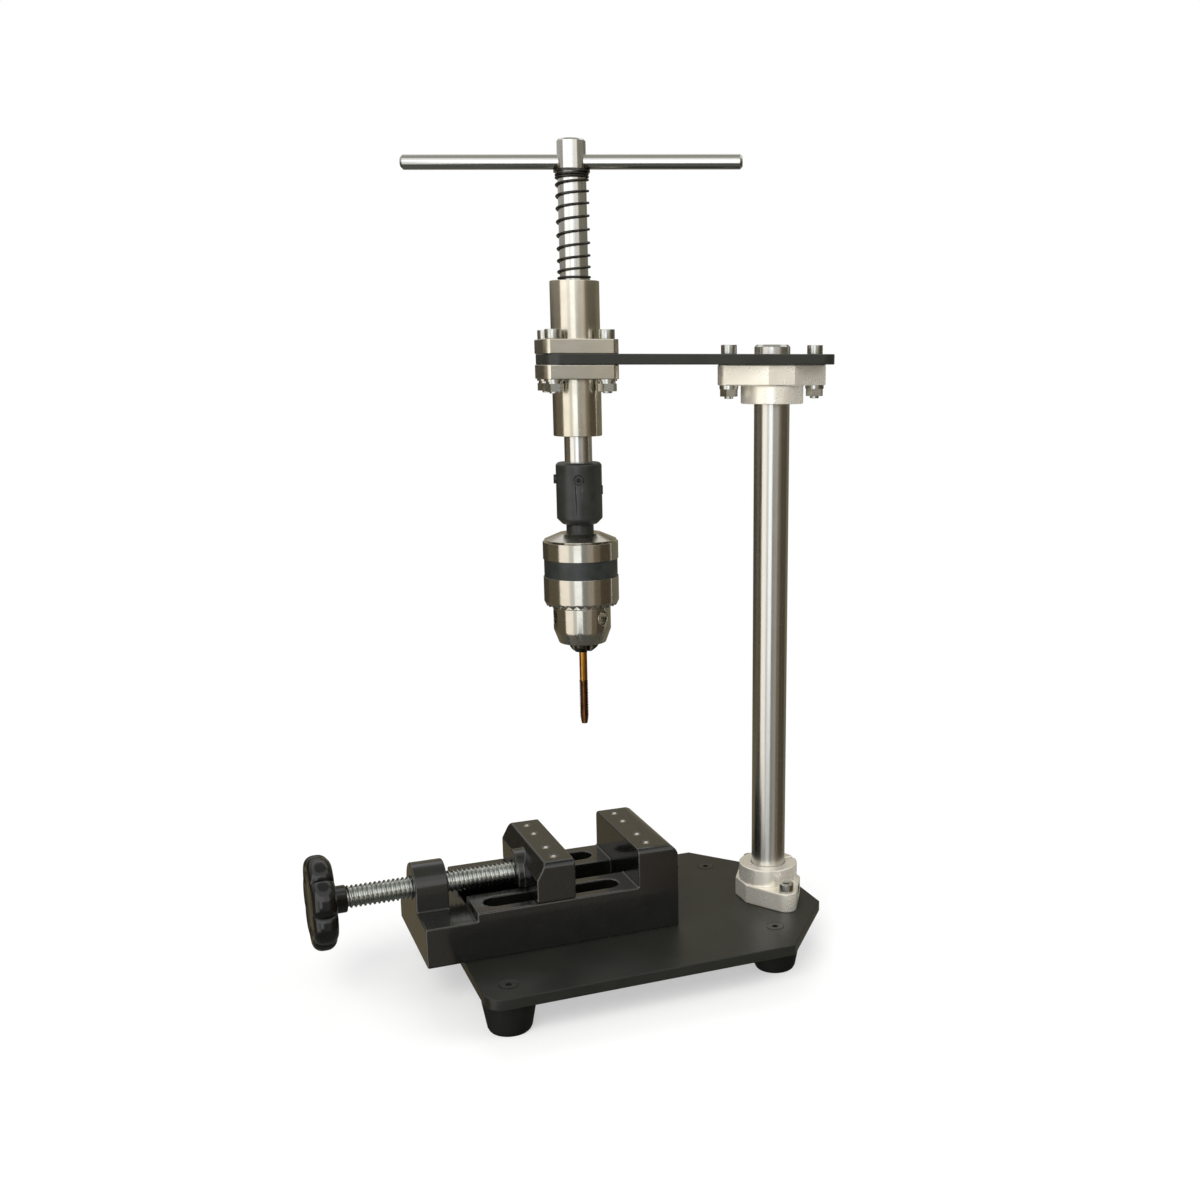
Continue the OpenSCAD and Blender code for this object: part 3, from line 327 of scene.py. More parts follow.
# The foot screws went through the same powder, and nothing has rubbed their sunk heads yet
COATED_SCREW = Finish(
    "powder_coated_screw", "black_fastener", "#1b1c18", 0.36, grain_mm=0.6, relief_mm=0.012,
    mottle_colour="#20211c", mottle_mm=30,
)
# The arm has the same coat, a little smoother and greyer
ARM_COAT = Finish(
    "powder_coated_steel_arm", "arm_finish", "#20211d", 0.34, grain_mm=0.5, relief_mm=0.008,
    mottle_colour="#262722", mottle_mm=25, wear_colour="#55544d", wear_mm=0.4, wear_share=0.2,
)
# Cast iron under thick glossy paint: sand grains of 2 mm rounded by the gloss, edges rubbed to grey
CASTING_PAINT = Finish(
    "painted_cast_iron", "vise_casting", "#0e0e0c", 0.24, grain_mm=2.2, relief_mm=0.01,
    mottle_colour="#131310", mottle_mm=9, rough_spread=0.05, coat=0.55,
    wear_colour="#8d8a80", wear_mm=0.4, wear_share=1.0,
)
# Bare iron where a drill point cut through the paint: small bright specks
DRILLED_IRON = Finish(
    "drilled_cast_iron", "vise_casting", "#b5b0a4", 0.25, metallic=1.0, grain_mm=0.4, relief_mm=0.004,
    mottle_colour="#9d988c", mottle_mm=2,
)
# Moulded rubber: dull, with the fine bloom of a bead-blasted mould
FOOT_RUBBER = Finish(
    "moulded_rubber", "foot_rubber", "#090908", 0.6, ior=1.4, grain_mm=0.8, relief_mm=0.01,
    mottle_colour="#0e0e0d", mottle_mm=6,
)
# Ground and hard-chromed bar: satin mirror, its light drawn out along the bar by the grinding rings.
# The real rings are some 0.05 mm apart; here they are 0.3 mm, the finest that shows
COLUMN_CHROME = Finish(
    "hard_chromed_column", "column_chrome", "#d3d1cc", 0.24, metallic=1.0, grain=Grain.TURNED_Z,
    grain_mm=0.3, relief_mm=0.0015, rough_spread=0.03, axis_blur=0.8,
)
# The spindle's chrome is worn a little smoother and brighter by the bushings
SPINDLE_CHROME = Finish(
    "hard_chromed_spindle", "spindle_steel", "#d8d7d3", 0.2, metallic=1.0, grain=Grain.TURNED_Z,
    grain_mm=0.3, relief_mm=0.0015, rough_spread=0.03, axis_blur=0.8,
)
# Drawn and polished bar: clean mirror under faint finger marks
BAR_CHROME = Finish(
    "polished_steel_bar", "spindle_steel", "#d2d0cc", 0.12, metallic=1.0, grain_mm=0.5, relief_mm=0.001,
    rough_spread=0.04,
)
# Die-cast aluminium, tumbled: warm white metal with a sandy skin
CAST_ALUMINIUM = Finish(
    "tumbled_cast_aluminium", "cast_support", "#f3eee2", 0.3, metallic=0.62, grain_mm=0.6, relief_mm=0.006,
    mottle_colour="#e9e3d4", mottle_mm=7, rough_spread=0.06,
)
# Ground steel under satin nickel: warm grey with faint turning rings, drawn coarse enough to show
BEARING_NICKEL = Finish(
    "satin_nickel_plated_steel", "bearing_shell", "#d8d2c4", 0.22, metallic=1.0, grain=Grain.TURNED_Z,
    grain_mm=0.4, relief_mm=0.001, mottle_colour="#cec7b8", mottle_mm=9, rough_spread=0.03, axis_blur=0.7,
)
# Turned steel under black oxide: near black with an oily sheen, edges rubbed to steel
OXIDE_BLACK = Finish(
    "black_oxide_turned_steel", "coupling_black", "#1f201e", 0.34, metallic=0.35, grain=Grain.TURNED_Z,
    grain_mm=0.4, relief_mm=0.004, mottle_colour="#282a27", mottle_mm=6,
    wear_colour="#6c6b65", wear_mm=0.3, wear_share=0.35,
)
# Rolled screw steel under the same oxide: browner and duller
SCREW_BLACK = Finish(
    "black_oxide_screw", "black_fastener", "#262624", 0.38, metallic=0.5, grain_mm=0.3, relief_mm=0.003,
    mottle_colour="#31302d", mottle_mm=3,
)
# Turned and polished chuck steel: mirror bands broken by fine rings
CHUCK_STEEL = Finish(
    "polished_chuck_steel", "chuck_steel", "#cdc9bf", 0.2, metallic=1.0, grain=Grain.TURNED_Z,
    grain_mm=0.25, relief_mm=0.002, mottle_colour="#c5c0b5", mottle_mm=8, rough_spread=0.04, axis_blur=0.8,
)
# Oxide on the sleeve's recessed band: bluish grey-black, even
CHUCK_BLACK = Finish(
    "black_oxide_band", "chuck_black", "#2a2d2c", 0.36, metallic=0.35, grain=Grain.TURNED_Z,
    grain_mm=0.4, relief_mm=0.004, mottle_colour="#333735", mottle_mm=6,
)
# Hardened jaw steel, ground and left dark
JAW_STEEL = Finish(
    "hardened_jaw_steel", "jaw_steel", "#56534c", 0.3, metallic=1.0, grain_mm=0.4, relief_mm=0.004,
)
# Titanium nitride over ground steel: clear gold
TAP_GOLD = Finish(
    "titanium_nitride_coat", "tap_gold", "#c08a3e", 0.22, metallic=1.0, grain=Grain.TURNED_Z,
    grain_mm=0.3, relief_mm=0.002, mottle_colour="#a8742f", mottle_mm=4,
)
# The same coat over a cut thread, browned by oil
TAP_BRONZE = Finish(
    "oiled_nitride_thread", "tap_gold", "#7d5633", 0.33, metallic=1.0, grain_mm=0.4, relief_mm=0.004,
    mottle_colour="#5d3f27", mottle_mm=3,
)
# Oil-tempered spring wire: dark and smooth, with a faint scale
SPRING_WIRE = Finish(
    "oil_tempered_spring_wire", "spring_wire", "#4b4a46", 0.28, metallic=0.9, grain_mm=0.3, relief_mm=0.002,
    mottle_colour="#34332f", mottle_mm=3,
)
# Bright zinc over rolled or pressed steel: cool silver, cloudy in patches
ZINC = Finish(
    "bright_zinc_plated_steel", "bright_fastener", "#cfd0cc", 0.22, metallic=1.0, grain_mm=0.3,
    relief_mm=0.003, mottle_colour="#bdbcb4", mottle_mm=2.5, rough_spread=0.06,
)
# The same zinc on the vise screw, brighter where the nut rubs it
SCREW_ZINC = Finish(
    "bright_zinc_plated_thread", "screw_zinc", "#d3d6d4", 0.2, metallic=1.0, grain_mm=0.4, relief_mm=0.003,
    mottle_colour="#b9bab5", mottle_mm=3, rough_spread=0.06,
)
# Acetal, moulded: milky and soft
CAGE_ACETAL = Finish(
    "moulded_acetal", "bearing_cage", "#e6e4dd", 0.4, ior=1.48, grain_mm=0.5, relief_mm=0.003,
)
# Nitrile rubber, moulded: dull grey-black lips
SEAL_RUBBER = Finish(
    "moulded_nitrile_rubber", "bearing_seal", "#1b1b1a", 0.6, ior=1.52, grain_mm=0.4, relief_mm=0.004,
)
# Phenolic, moulded and polished: deep black with hard highlights
KNOB_PHENOLIC = Finish(
    "moulded_phenolic", "knob_plastic", "#0a0a09", 0.16, ior=1.55, grain_mm=1.5, relief_mm=0.004,
    mottle_colour="#0f0f0e", mottle_mm=8,
)


class Shape:
    """Mesh under construction: points and faces, in metres."""

    def __init__(self) -> None:
        """Starts with nothing."""
        self.points: list[Point] = []
        self.faces: list[Sequence[int]] = []

    def ring(self, points: Iterable[Point]) -> list[int]:
        """Adds points that go round a closed ring.

        Args:
            points: The points, in metres.

        Returns:
            Their numbers.
        """
        start = len(self.points)
        self.points.extend(points)
        return list(range(start, len(self.points)))

    def bridge(self, rings: Sequence[Sequence[int]]) -> None:
        """Joins closed rings of the same length, one after the other, with quads.

        Args:
            rings: The rings, in order.
        """
        for first, second in zip(rings, rings[1:]):
            count = len(first)
            for k in range(count):
                n = (k + 1) % count
                self.faces.append((first[k], first[n], second[n], second[k]))

    def cap(self, ring: Sequence[int], turned: bool = False) -> None:
        """Closes a ring with one face, turned round if asked."""
        self.faces.append(tuple(reversed(ring)) if turned else tuple(ring))

    def tube(self, rings: Sequence[Sequence[int]]) -> None:
        """Bridges the rings and closes both ends.

        Args:
            rings: The rings, from the lower end.
        """
        self.bridge(rings)
        self.cap(rings[0], turned=True)
        self.cap(rings[-1])

    def piece(
        self, name: str, finish: Finish, body: str, stands_for: Sequence[str] = (), sharp_deg: float = 40.0
    ) -> bpy.types.Object:
        """Makes the object and puts it on its body.

        Args:
            name: The piece's name.
            finish: Its surface.
            body: The CAD body that it rides on.
            stands_for: CAD nodes that it replaces.
            sharp_deg: Edges sharper than this stay sharp.

        Returns:
            The new object.
        """
        mesh = bpy.data.meshes.new(name)
        mesh.from_pydata(self.points, [], self.faces)
        mesh.validate()
        mesh.shade_smooth()
        mesh.set_sharp_from_angle(angle=math.radians(sharp_deg))
        piece = bpy.data.objects.new(name, mesh)
        bpy.context.scene.collection.objects.link(piece)
        mesh.materials.append(finish.material())
        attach(piece, body)
        if stands_for:
            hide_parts(*stands_for)
        LOG.info("%s: %d faces, rides on %s", name, len(self.faces), body)
        return piece


@dataclass(frozen=True)
class RadiusLimit:
    """Caps a rod's radius: three flutes and a tapered lead for a tap, or nothing.

    Attributes:
        flute_out: Distance of a flute's middle from the axis.
        flute_r: Radius of a flute, or zero for none.
        tip: Height of the tip, where the lead begins.
        tip_r: Radius at the tip.
        lead_end: Height above which the thread is full.
        lead_end_r: Radius of the lead at that height.
        no_limit: Radius that stands for no limit at all.
    """

    flute_out: float = 0.0
    flute_r: float = 0.0
    tip: float = 0.0
    tip_r: float = 0.0
    lead_end: float = 0.0
    lead_end_r: float = 0.0
    no_limit: float = 1.0

    def at(self, height: float, angle: float) -> float:
        """Gives the largest radius at a place on the rod.

        Args:
            height: Height along the rod.
            angle: Angle around it, in radians.

        Returns:
            The radius in metres.
        """
        most = self.no_limit
        if self.lead_end > self.tip and height < self.lead_end:
            share = (height - self.tip) / (self.lead_end - self.tip)
            most = self.tip_r + share * (self.lead_end_r - self.tip_r)
        if self.flute_r:
            off = (angle + math.pi / 3) % (2 * math.pi / 3) - math.pi / 3
            reach = self.flute_r**2 - (self.flute_out * math.sin(off)) ** 2
            if reach > 0:
                most = min(most, self.flute_out * math.cos(off) - math.sqrt(reach))
        return most


def threaded_rod(
    start: float, end: float, pitch: float, radii: Sequence[float], sides: int, limit: RadiusLimit
) -> Shape:
    """Builds a rod with a right-hand thread along +Z, its rows running with the helix.

    Args:
        start: Lowest height.
        end: Highest height.
        pitch: Height of one turn.
        radii: Radii over one pitch, from root to root.
        sides: Points around the rod.
        limit: Caps the radius by height and angle.

    Returns:
        The rod, open at both ends.
    """
    shape = Shape()
    rows_per_turn = len(radii)
    # One turn more, and two rows to spare, let the slanted rows reach both ends
    rows = math.ceil((end - start) / pitch * rows_per_turn) + rows_per_turn + 2
    for i in range(rows):
        for j in range(sides):
            height = start + pitch * ((i - rows_per_turn) / rows_per_turn + j / sides)
            height = min(max(height, start), end)
            angle = 2 * math.pi * j / sides
            radius = min(radii[i % rows_per_turn], limit.at(height, angle))
            shape.points.append((radius * math.cos(angle), radius * math.sin(angle), height))
    for i in range(rows - 1):
        for j in range(sides):
            # Past the seam a row goes on with the row one pitch higher
            step = 0 if j < sides - 1 else rows_per_turn
            k = (j + 1) % sides
            if i + 1 + step < rows:
                low, high = i * sides, (i + 1) * sides
                far_low, far_high = (i + step) * sides, (i + 1 + step) * sides
                shape.faces.append((low + j, far_low + k, far_high + k, high + j))
    return shape


@dataclass
class CadPiece:
    """A CAD node that is kept: its finish, and how far its edges are rounded.

    Attributes:
        node: Name of the node.
        finish: Its surface.
        round_mm: Radius of its edges, or zero.
        segments: Steps across a rounded edge.
    """

    node: str
    finish: Finish
    round_mm: float = 0.2
    segments: int = 2

    def dress(self) -> None:
        """Gives the node its material and rounds its edges with modifiers."""
        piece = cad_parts[self.node]
        piece.data.materials.clear()
        piece.data.materials.append(self.finish.material())
        if self.round_mm:
            weld = piece.modifiers.new("weld", "WELD")
            weld.merge_threshold = WELD_MM * MM
            flat = piece.modifiers.new("one_face_per_plane", "DECIMATE")
            flat.decimate_type = "DISSOLVE"
            flat.angle_limit = math.radians(COPLANAR_DEG)
            edge = piece.modifiers.new("rounded_edges", "BEVEL")
            edge.width = self.round_mm * MM
            edge.segments = self.segments
            edge.limit_method = "ANGLE"
            edge.angle_limit = math.radians(SHARP_EDGE_DEG)
            edge.use_clamp_overlap = False
            edge.miter_outer = "MITER_ARC"
            even = piece.modifiers.new("even_shading", "WEIGHTED_NORMAL")
            even.keep_sharp = True
            even.weight = EVEN_WEIGHT
        LOG.info("%s: CAD node, %s", self.node, self.finish.name)


@dataclass
class Assembly:
    """Sub-assembly whose kept CAD nodes are dressed in order.

    Attributes:
        pieces: The CAD nodes that it keeps.
    """

    pieces: list[CadPiece] = field(default_factory=list)

    def build(self) -> None:
        """Dresses every kept node."""
        for piece in self.pieces:
            piece.dress()


@dataclass
class Base(Assembly):
    """Base plate with its feet and the column's lower support."""

    pieces: list[CadPiece] = field(default_factory=lambda: [
        CadPiece("base_plate", PLATE_COAT, 0.4),
        CadPiece("foot_front_left", FOOT_RUBBER, 0.5), CadPiece("foot_front_right", FOOT_RUBBER, 0.5),
        CadPiece("foot_rear_left", FOOT_RUBBER, 0.5), CadPiece("foot_rear_right", FOOT_RUBBER, 0.5),
        CadPiece("foot_screws", COATED_SCREW, 0.0), CadPiece("foot_nuts", ZINC, 0.0),
        CadPiece("base_flange", CAST_ALUMINIUM, 0.5), CadPiece("base_flange_screws", ZINC, 0.25),
        CadPiece("base_clamp_screw", SCREW_BLACK, 0.0),
    ])


@dataclass
class ArmHead(Assembly):
    """Column, arm, its clamp and the two spindle bearings."""

    pieces: list[CadPiece] = field(default_factory=lambda: [
        CadPiece("column", COLUMN_CHROME, 0.0), CadPiece("arm_plate", ARM_COAT, 0.4),
        CadPiece("arm_flange", CAST_ALUMINIUM, 0.5), CadPiece("arm_flange_screws", ZINC, 0.25),
        CadPiece("arm_flange_washers", ZINC, 0.0), CadPiece("arm_flange_nuts", ZINC, 0.0),
        CadPiece("arm_clamp_screw", SCREW_BLACK, 0.0),
        CadPiece("upper_bearing", BEARING_NICKEL, 0.35), CadPiece("lower_bearing", BEARING_NICKEL, 0.35),
        CadPiece("bearing_cages", CAGE_ACETAL, 0.0), CadPiece("bearing_seals", SEAL_RUBBER, 0.0),
        CadPiece("bearing_screws", ZINC, 0.25), CadPiece("bearing_washers", ZINC, 0.0),
        CadPiece("bearing_nuts", ZINC, 0.0),
    ])


@dataclass
class ReturnSpring(Assembly):
    """Compression spring between the upper bearing and the cross bar, with its washer.

    Attributes:
        pieces: The CAD nodes that it keeps.
        mean_r: Radius of the wire's middle.
        wire_r: Radius of the wire.
        open_turns: Turns with a gap between them.
        closed_low: Closed turns at the bottom.
        closed_high: Closed turns at the top.
        closed_pitch: Height of one closed turn, as a share of the wire's radius.
        easing: How softly the open turns begin and end.
        stroke: How far the cross bar presses it together; not used.
        steps: Rings of points in one turn.
        sides: Points around the wire.
    """

    pieces: list[CadPiece] = field(default_factory=lambda: [CadPiece("spring_washer", SPRING_WIRE, 0.0)])
    mean_r: float = 6.62 * MM
    wire_r: float = 0.52 * MM
    open_turns: float = 8.0
    closed_low: float = 1.0
    closed_high: float = 2.0
    closed_pitch: float = 2.06
    easing: float = 0.12
    stroke: float = 28 * MM
    steps: int = 30
    sides: int = 12

    def _height(self, turn: float, room: float) -> float:
        """Gives the height of the wire's middle above its lowest turn.

        Args:
            turn: Turns counted from the bottom.
            room: Height that the whole wire fills.

        Returns:
            The height in metres.
        """
        closed_pitch = self.closed_pitch * self.wire_r
        open_room = room - (self.closed_low + self.closed_high) * closed_pitch
        low = min(turn, self.closed_low) * closed_pitch
        middle = min(max(turn - self.closed_low, 0), self.open_turns) / self.open_turns
        high = max(turn - self.closed_low - self.open_turns, 0) * closed_pitch
        eased = middle - math.sin(2 * math.pi * middle) / (2 * math.pi) * self.easing
        return low + eased * open_room + high

    def _path(self, centre: Vector, low: float, high: float) -> list[Vector]:
        """Lays out the middle of the wire.

        Args:
            centre: A point on the spring's axis.
            low: Height of its lower end.
            high: Height of its upper end.

        Returns:
            Points along the wire, from the bottom.
        """
        room = high - low - 2 * self.wire_r
        count = round((self.closed_low + self.open_turns + self.closed_high) * self.steps)
        path = []
        for i in range(count + 1):
            turn = i / self.steps
            angle = 2 * math.pi * turn
            path.append(Vector((
                centre.x + self.mean_r * math.cos(angle), centre.y + self.mean_r * math.sin(angle),
                low + self.wire_r + self._height(turn, room),
            )))
        return path

    def build(self) -> None:
        """Winds the wire and dresses the washer."""
        low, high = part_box("return_spring")
        centre = (low + high) / 2
        path = self._path(centre, low.z, high.z)
        last = len(path) - 1
        shape = Shape()
        rings = []
        for i, point in enumerate(path):
            way = (path[min(i + 1, last)] - path[max(i - 1, 0)]).normalized()
            out = Vector((point.x - centre.x, point.y - centre.y, 0)).normalized()
            side = way.cross(out).normalized()
            turns = [2 * math.pi * k / self.sides for k in range(self.sides)]
            rings.append(shape.ring(
                tuple(point + self.wire_r * (math.cos(turn) * out + math.sin(turn) * side))
                for turn in turns))
        shape.tube(rings)
        spring = shape.piece("return_spring_wire", SPRING_WIRE, "arm", ["return_spring"])
        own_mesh(spring)
        super().build()


@dataclass
class Tap:
    """Three-flute machine tap: gold shank in the chuck, browned thread below.

    Attributes:
        thread_l: Length of the threaded stretch.
        shank_r: Radius of the shank.
        crest_r: Radius over the thread.
        root_r: Radius at the bottom of the thread.
        pitch: Height of one turn of the thread.
        lead_l: Length of the tapered tip.
        lead_end_r: Radius of the taper where the full thread begins.
        tip_r: Radius at the tip.
        flute_out: Distance of a flute's middle from the axis.
        flute_r: Radius of a flute.
        shank_sunk: How far the shank reaches into the thread.
        shoulder_l: Length of the cone between thread and shank.
        thread_sides: Points around the thread.
        shank_sides: Points around the shank.
        end_sides: Points around the discs that close the thread.
        thread_sharp_deg: Edges of the thread sharper than this stay sharp.
    """

    thread_l: float = 20 * MM
    shank_r: float = 1.75 * MM
    crest_r: float = 2.0 * MM
    root_r: float = 1.6 * MM
    pitch: float = 0.7 * MM
    lead_l: float = 4.4 * MM
    lead_end_r: float = 2.1 * MM
    tip_r: float = 1.3 * MM
    flute_out: float = 2.15 * MM
    flute_r: float = 0.95 * MM
    shank_sunk: float = 0.2 * MM
    shoulder_l: float = 0.6 * MM
    thread_sides: int = 72
    shank_sides: int = 36
    end_sides: int = 24
    thread_sharp_deg: float = 30

    def build(self) -> None:
        """Builds shank and thread as two finishes on one rod."""
        low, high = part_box("tap")
        centre = (low + high) / 2
        neck = low.z + self.thread_l
        limit = RadiusLimit(
            flute_out=self.flute_out, flute_r=self.flute_r, tip=low.z, tip_r=self.tip_r,
            lead_end=low.z + self.lead_l, lead_end_r=self.lead_end_r,
        )
        flank = (self.root_r + self.crest_r) / 2
        radii = [self.root_r, flank, self.crest_r, self.crest_r, flank, self.root_r]
        thread = threaded_rod(low.z, neck, self.pitch, radii, self.thread_sides, limit)
        thread.points = [(x + centre.x, y + centre.y, z) for x, y, z in thread.points]
        for height, turned in ((low.z, True), (neck, False)):
            thread.cap(thread.ring(
                (x, y, height) for x, y in circle(centre.x, centre.y, self.tip_r, self.end_sides)), turned)
        thread.piece("tap_thread", TAP_BRONZE, "spindle", ["tap"], self.thread_sharp_deg)
        shank = Shape()
        heights = [(neck - self.shank_sunk, self.root_r), (neck + self.shoulder_l, self.shank_r),
                   (high.z, self.shank_r)]
        shank.tube([
            shank.ring((x, y, height) for x, y in circle(centre.x, centre.y, radius, self.shank_sides))
            for height, radius in heights])
        shank.piece("tap_shank", TAP_GOLD, "spindle")


@dataclass
class SpindleTrain(Assembly):
    """Spindle, cross bar, coupling and key chuck with its tap."""

    pieces: list[CadPiece] = field(default_factory=lambda: [
        CadPiece("spindle_shaft", SPINDLE_CHROME, 0.0), CadPiece("cross_bar", BAR_CHROME, 0.0),
        CadPiece("chuck_coupling", OXIDE_BLACK, 0.35), CadPiece("coupling_set_screws", SCREW_BLACK, 0.0),
        CadPiece("chuck_body", CHUCK_STEEL, 0.25), CadPiece("chuck_sleeve", CHUCK_STEEL, 0.12),
        CadPiece("chuck_band", CHUCK_BLACK, 0.0), CadPiece("chuck_nut", CHUCK_STEEL, 0.0),
        CadPiece("chuck_jaw_1", JAW_STEEL, 0.1), CadPiece("chuck_jaw_2", JAW_STEEL, 0.1),
        CadPiece("chuck_jaw_3", JAW_STEEL, 0.1),
    ])

    def build(self) -> None:
        """Dresses the train and cuts the tap."""
        super().build()
        Tap().build()


@dataclass
class ViseScrew:
    """Vise screw with its thread, and the lobed knob.

    Attributes:
        crest_r: Radius over the thread.
        root_r: Radius at the bottom of the thread.
        flank_share: How high the middle of a flank is, between root and crest.
        pitch: Travel of one turn.
        thread_sides: Points around the thread.
        end_sides: Points around the discs that close the thread.
        thread_sharp_deg: Edges of the thread sharper than this stay sharp.
        lobes: Lobes around the knob.
        valley_share: Radius between two lobes, as a share of the knob's.
        power_share: How round the lobes are; lower is rounder.
        edge_r: Radius of the knob's rounded edges.
        edge_steps: Steps across a rounded edge.
        dish: Place behind the outer face and inset of each outline of its hollow.
        collar_r: Radius of the knob's collar.
        collar_l: Length of the collar.
        collar_fillet: Fillet between knob and collar.
        collar_chamfer: Chamfer at the collar's end.
        bore_gap: Space between the screw and the knob's bore.
        knob_sides: Points around the knob.
        knob_sharp_deg: Edges of the knob sharper than this stay sharp.
    """

    crest_r: float = 5.0 * MM
    root_r: float = 4.15 * MM
    flank_share: float = 0.55
    pitch: float = 2.0 * MM
    thread_sides: int = 48
    end_sides: int = 32
    thread_sharp_deg: float = 30
    lobes: int = 7
    valley_share: float = 0.86
    power_share: float = 0.55
    edge_r: float = 4.4 * MM
    edge_steps: int = 6
    dish: tuple[tuple[float, float], ...] = ((0.8 * MM, 6.5 * MM), (0.2 * MM, 5.0 * MM))
    collar_r: float = 6.0 * MM
    collar_l: float = 5.5 * MM
    collar_fillet: float = 0.4 * MM
    collar_chamfer: float = 0.5 * MM
    bore_gap: float = 0.05 * MM
    knob_sides: int = 210
    knob_sharp_deg: float = 50

    def build(self) -> None:
        """Builds the screw and the knob."""
        self._screw()
        self._knob()

    def _screw(self) -> None:
        """Cuts the thread and lays the rod along X."""
        low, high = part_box("vise_screw")
        centre = (low + high) / 2
        flank = self.root_r + self.flank_share * (self.crest_r - self.root_r)
        radii = [self.root_r, self.root_r, flank, self.crest_r, self.crest_r, flank]
        rod = threaded_rod(low.x, high.x, self.pitch, radii, self.thread_sides, RadiusLimit())
        rod.points = [(z, centre.y + x, centre.z + y) for x, y, z in rod.points]
        for place, turned in ((low.x, True), (high.x, False)):
            rod.cap(rod.ring(
                (place, y, z) for y, z in circle(centre.y, centre.z, self.root_r, self.end_sides)), turned)
        rod.piece("vise_screw_thread", SCREW_ZINC, "vise_screw", ["vise_screw"], self.thread_sharp_deg)

    def _outline(self, angle: float, knob_r: float) -> float:
        """Gives the knob's radius at an angle, between lobe and valley."""
        lobe = abs(math.cos(angle * self.lobes / 2)) ** self.power_share
        return knob_r * (self.valley_share + (1 - self.valley_share) * lobe)

    def _profile(self, front: float, back: float) -> list[tuple[float, float]]:
        """Gives place and inset of each outline, from the outer face to the inner one.

        Args:
            front: Outer face of the knob.
            back: Inner face, where the collar begins.

        Returns:
            Pairs of place along X and inset from the full outline.
        """
        turns = [math.pi / 2 * k / self.edge_steps for k in range(self.edge_steps + 1)]
        bends = [(self.edge_r * (1 - math.sin(turn)), self.edge_r * (1 - math.cos(turn))) for turn in turns]
        dish = [(front + depth, inset) for depth, inset in self.dish]
        rise = [(front + depth, inset) for depth, inset in reversed(bends)]
        fall = [(back - depth, inset) for depth, inset in bends]
        return dish + rise + fall

    def _knob(self) -> None:
        """Lofts the knob through scaled outlines, with a collar on its inner face."""
        low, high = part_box("vise_knob")
        centre = (low + high) / 2
        knob_r = (high.z - low.z) / 2
        back = high.x - self.collar_l
        angles = [2 * math.pi * k / self.knob_sides for k in range(self.knob_sides)]
        shape = Shape()
        rings = []
        for place, inset in self._profile(low.x, back):
            ring = []
            for angle in angles:
                radius = self._outline(angle, knob_r) - inset
                ring.append((place, centre.y + radius * math.cos(angle), centre.z + radius * math.sin(angle)))
            rings.append(shape.ring(ring))
        bore_r = self.crest_r + self.bore_gap
        collar = (
            (back, self.collar_r + self.collar_fillet), (back + self.collar_fillet, self.collar_r),
            (high.x - self.collar_chamfer, self.collar_r), (high.x, self.collar_r - self.collar_chamfer),
            (high.x, bore_r), (back, bore_r),
        )
        for place, radius in collar:
            rings.append(shape.ring(
                (place, y, z) for y, z in circle(centre.y, centre.z, radius, self.knob_sides)))
        shape.bridge(rings)
        shape.cap(rings[0], turned=True)
        shape.piece("lobed_knob", KNOB_PHENOLIC, "vise_screw", ["vise_knob"], self.knob_sharp_deg)


@dataclass
class Vise(Assembly):
    """Drill vise: body, moving jaw with its keeper, and the screw.

    Attributes:
        pieces: The CAD nodes that it keeps.
        dimple_r: Radius of the drill-point dimples on the jaws.
        skin: Thickness of the bare iron that lines them.
        dimple_deg: How far up its wall a dimple is lined.
        dimple_shares: Places of the dimples along a jaw, as shares of its length from the middle.
        moving_dimples_in: Distance of the moving jaw's dimples from its right face.
        fixed_dimples_in: Distance of the fixed jaw's dimples from its right face.
        dimple_sides: Points around a dimple.
        dimple_steps: Rings of points from its bottom to its rim.
    """

    pieces: list[CadPiece] = field(default_factory=lambda: [
        CadPiece("vise_body", CASTING_PAINT, 0.7, 3), CadPiece("vise_moving_jaw", CASTING_PAINT, 0.7, 3),
        CadPiece("vise_mount_screws", SCREW_BLACK, 0.2), CadPiece("jaw_keeper_plate", SCREW_BLACK, 0.3),
        CadPiece("jaw_keeper_screws", ZINC, 0.0), CadPiece("screw_retaining_pin", ZINC, 0.0),
    ])
    dimple_r: float = 1.78 * MM
    skin: float = 0.1 * MM
    dimple_deg: float = 82
    dimple_shares: tuple[float, ...] = (-0.36, -0.16, 0.16, 0.36)
    moving_dimples_in: float = 7.7 * MM
    fixed_dimples_in: float = 12.74 * MM
    dimple_sides: int = 24
    dimple_steps: int = 6

    def _dimples(self, name: str, node: str, body: str, inward: float) -> None:
        """Lays a thin skin of bare iron in the four drilled dimples of a jaw.

        Args:
            name: The piece's name.
            node: CAD node of the jaw.
            body: The CAD body that it rides on.
            inward: Distance of the dimples from the jaw's right face.
        """
        low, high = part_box(node)
        middle = (low.y + high.y) / 2
        steps = self.dimple_steps
        outside = [(self.dimple_r, step) for step in range(1, steps + 1)]
        inside = [(self.dimple_r - self.skin, step) for step in range(steps, 0, -1)]
        shape = Shape()
        for share in self.dimple_shares:
            rings = []
            for radius, step in outside + inside:
                tilt = math.radians(self.dimple_deg) * step / steps
                place = middle + share * (high.y - low.y)
                around = circle(high.x - inward, place, radius * math.sin(tilt), self.dimple_sides)
                rings.append(shape.ring((x, y, high.z - radius * math.cos(tilt)) for x, y in around))
            shape.tube(rings)
        shape.piece(name, DRILLED_IRON, body)

    def build(self) -> None:
        """Dresses the castings and builds the dimples and the screw."""
        super().build()
        self._dimples("moving_jaw_dimples", "vise_moving_jaw", "sliding_jaw", self.moving_dimples_in)
        self._dimples("fixed_jaw_dimples", "vise_body", "root", self.fixed_dimples_in)
        ViseScrew().build()


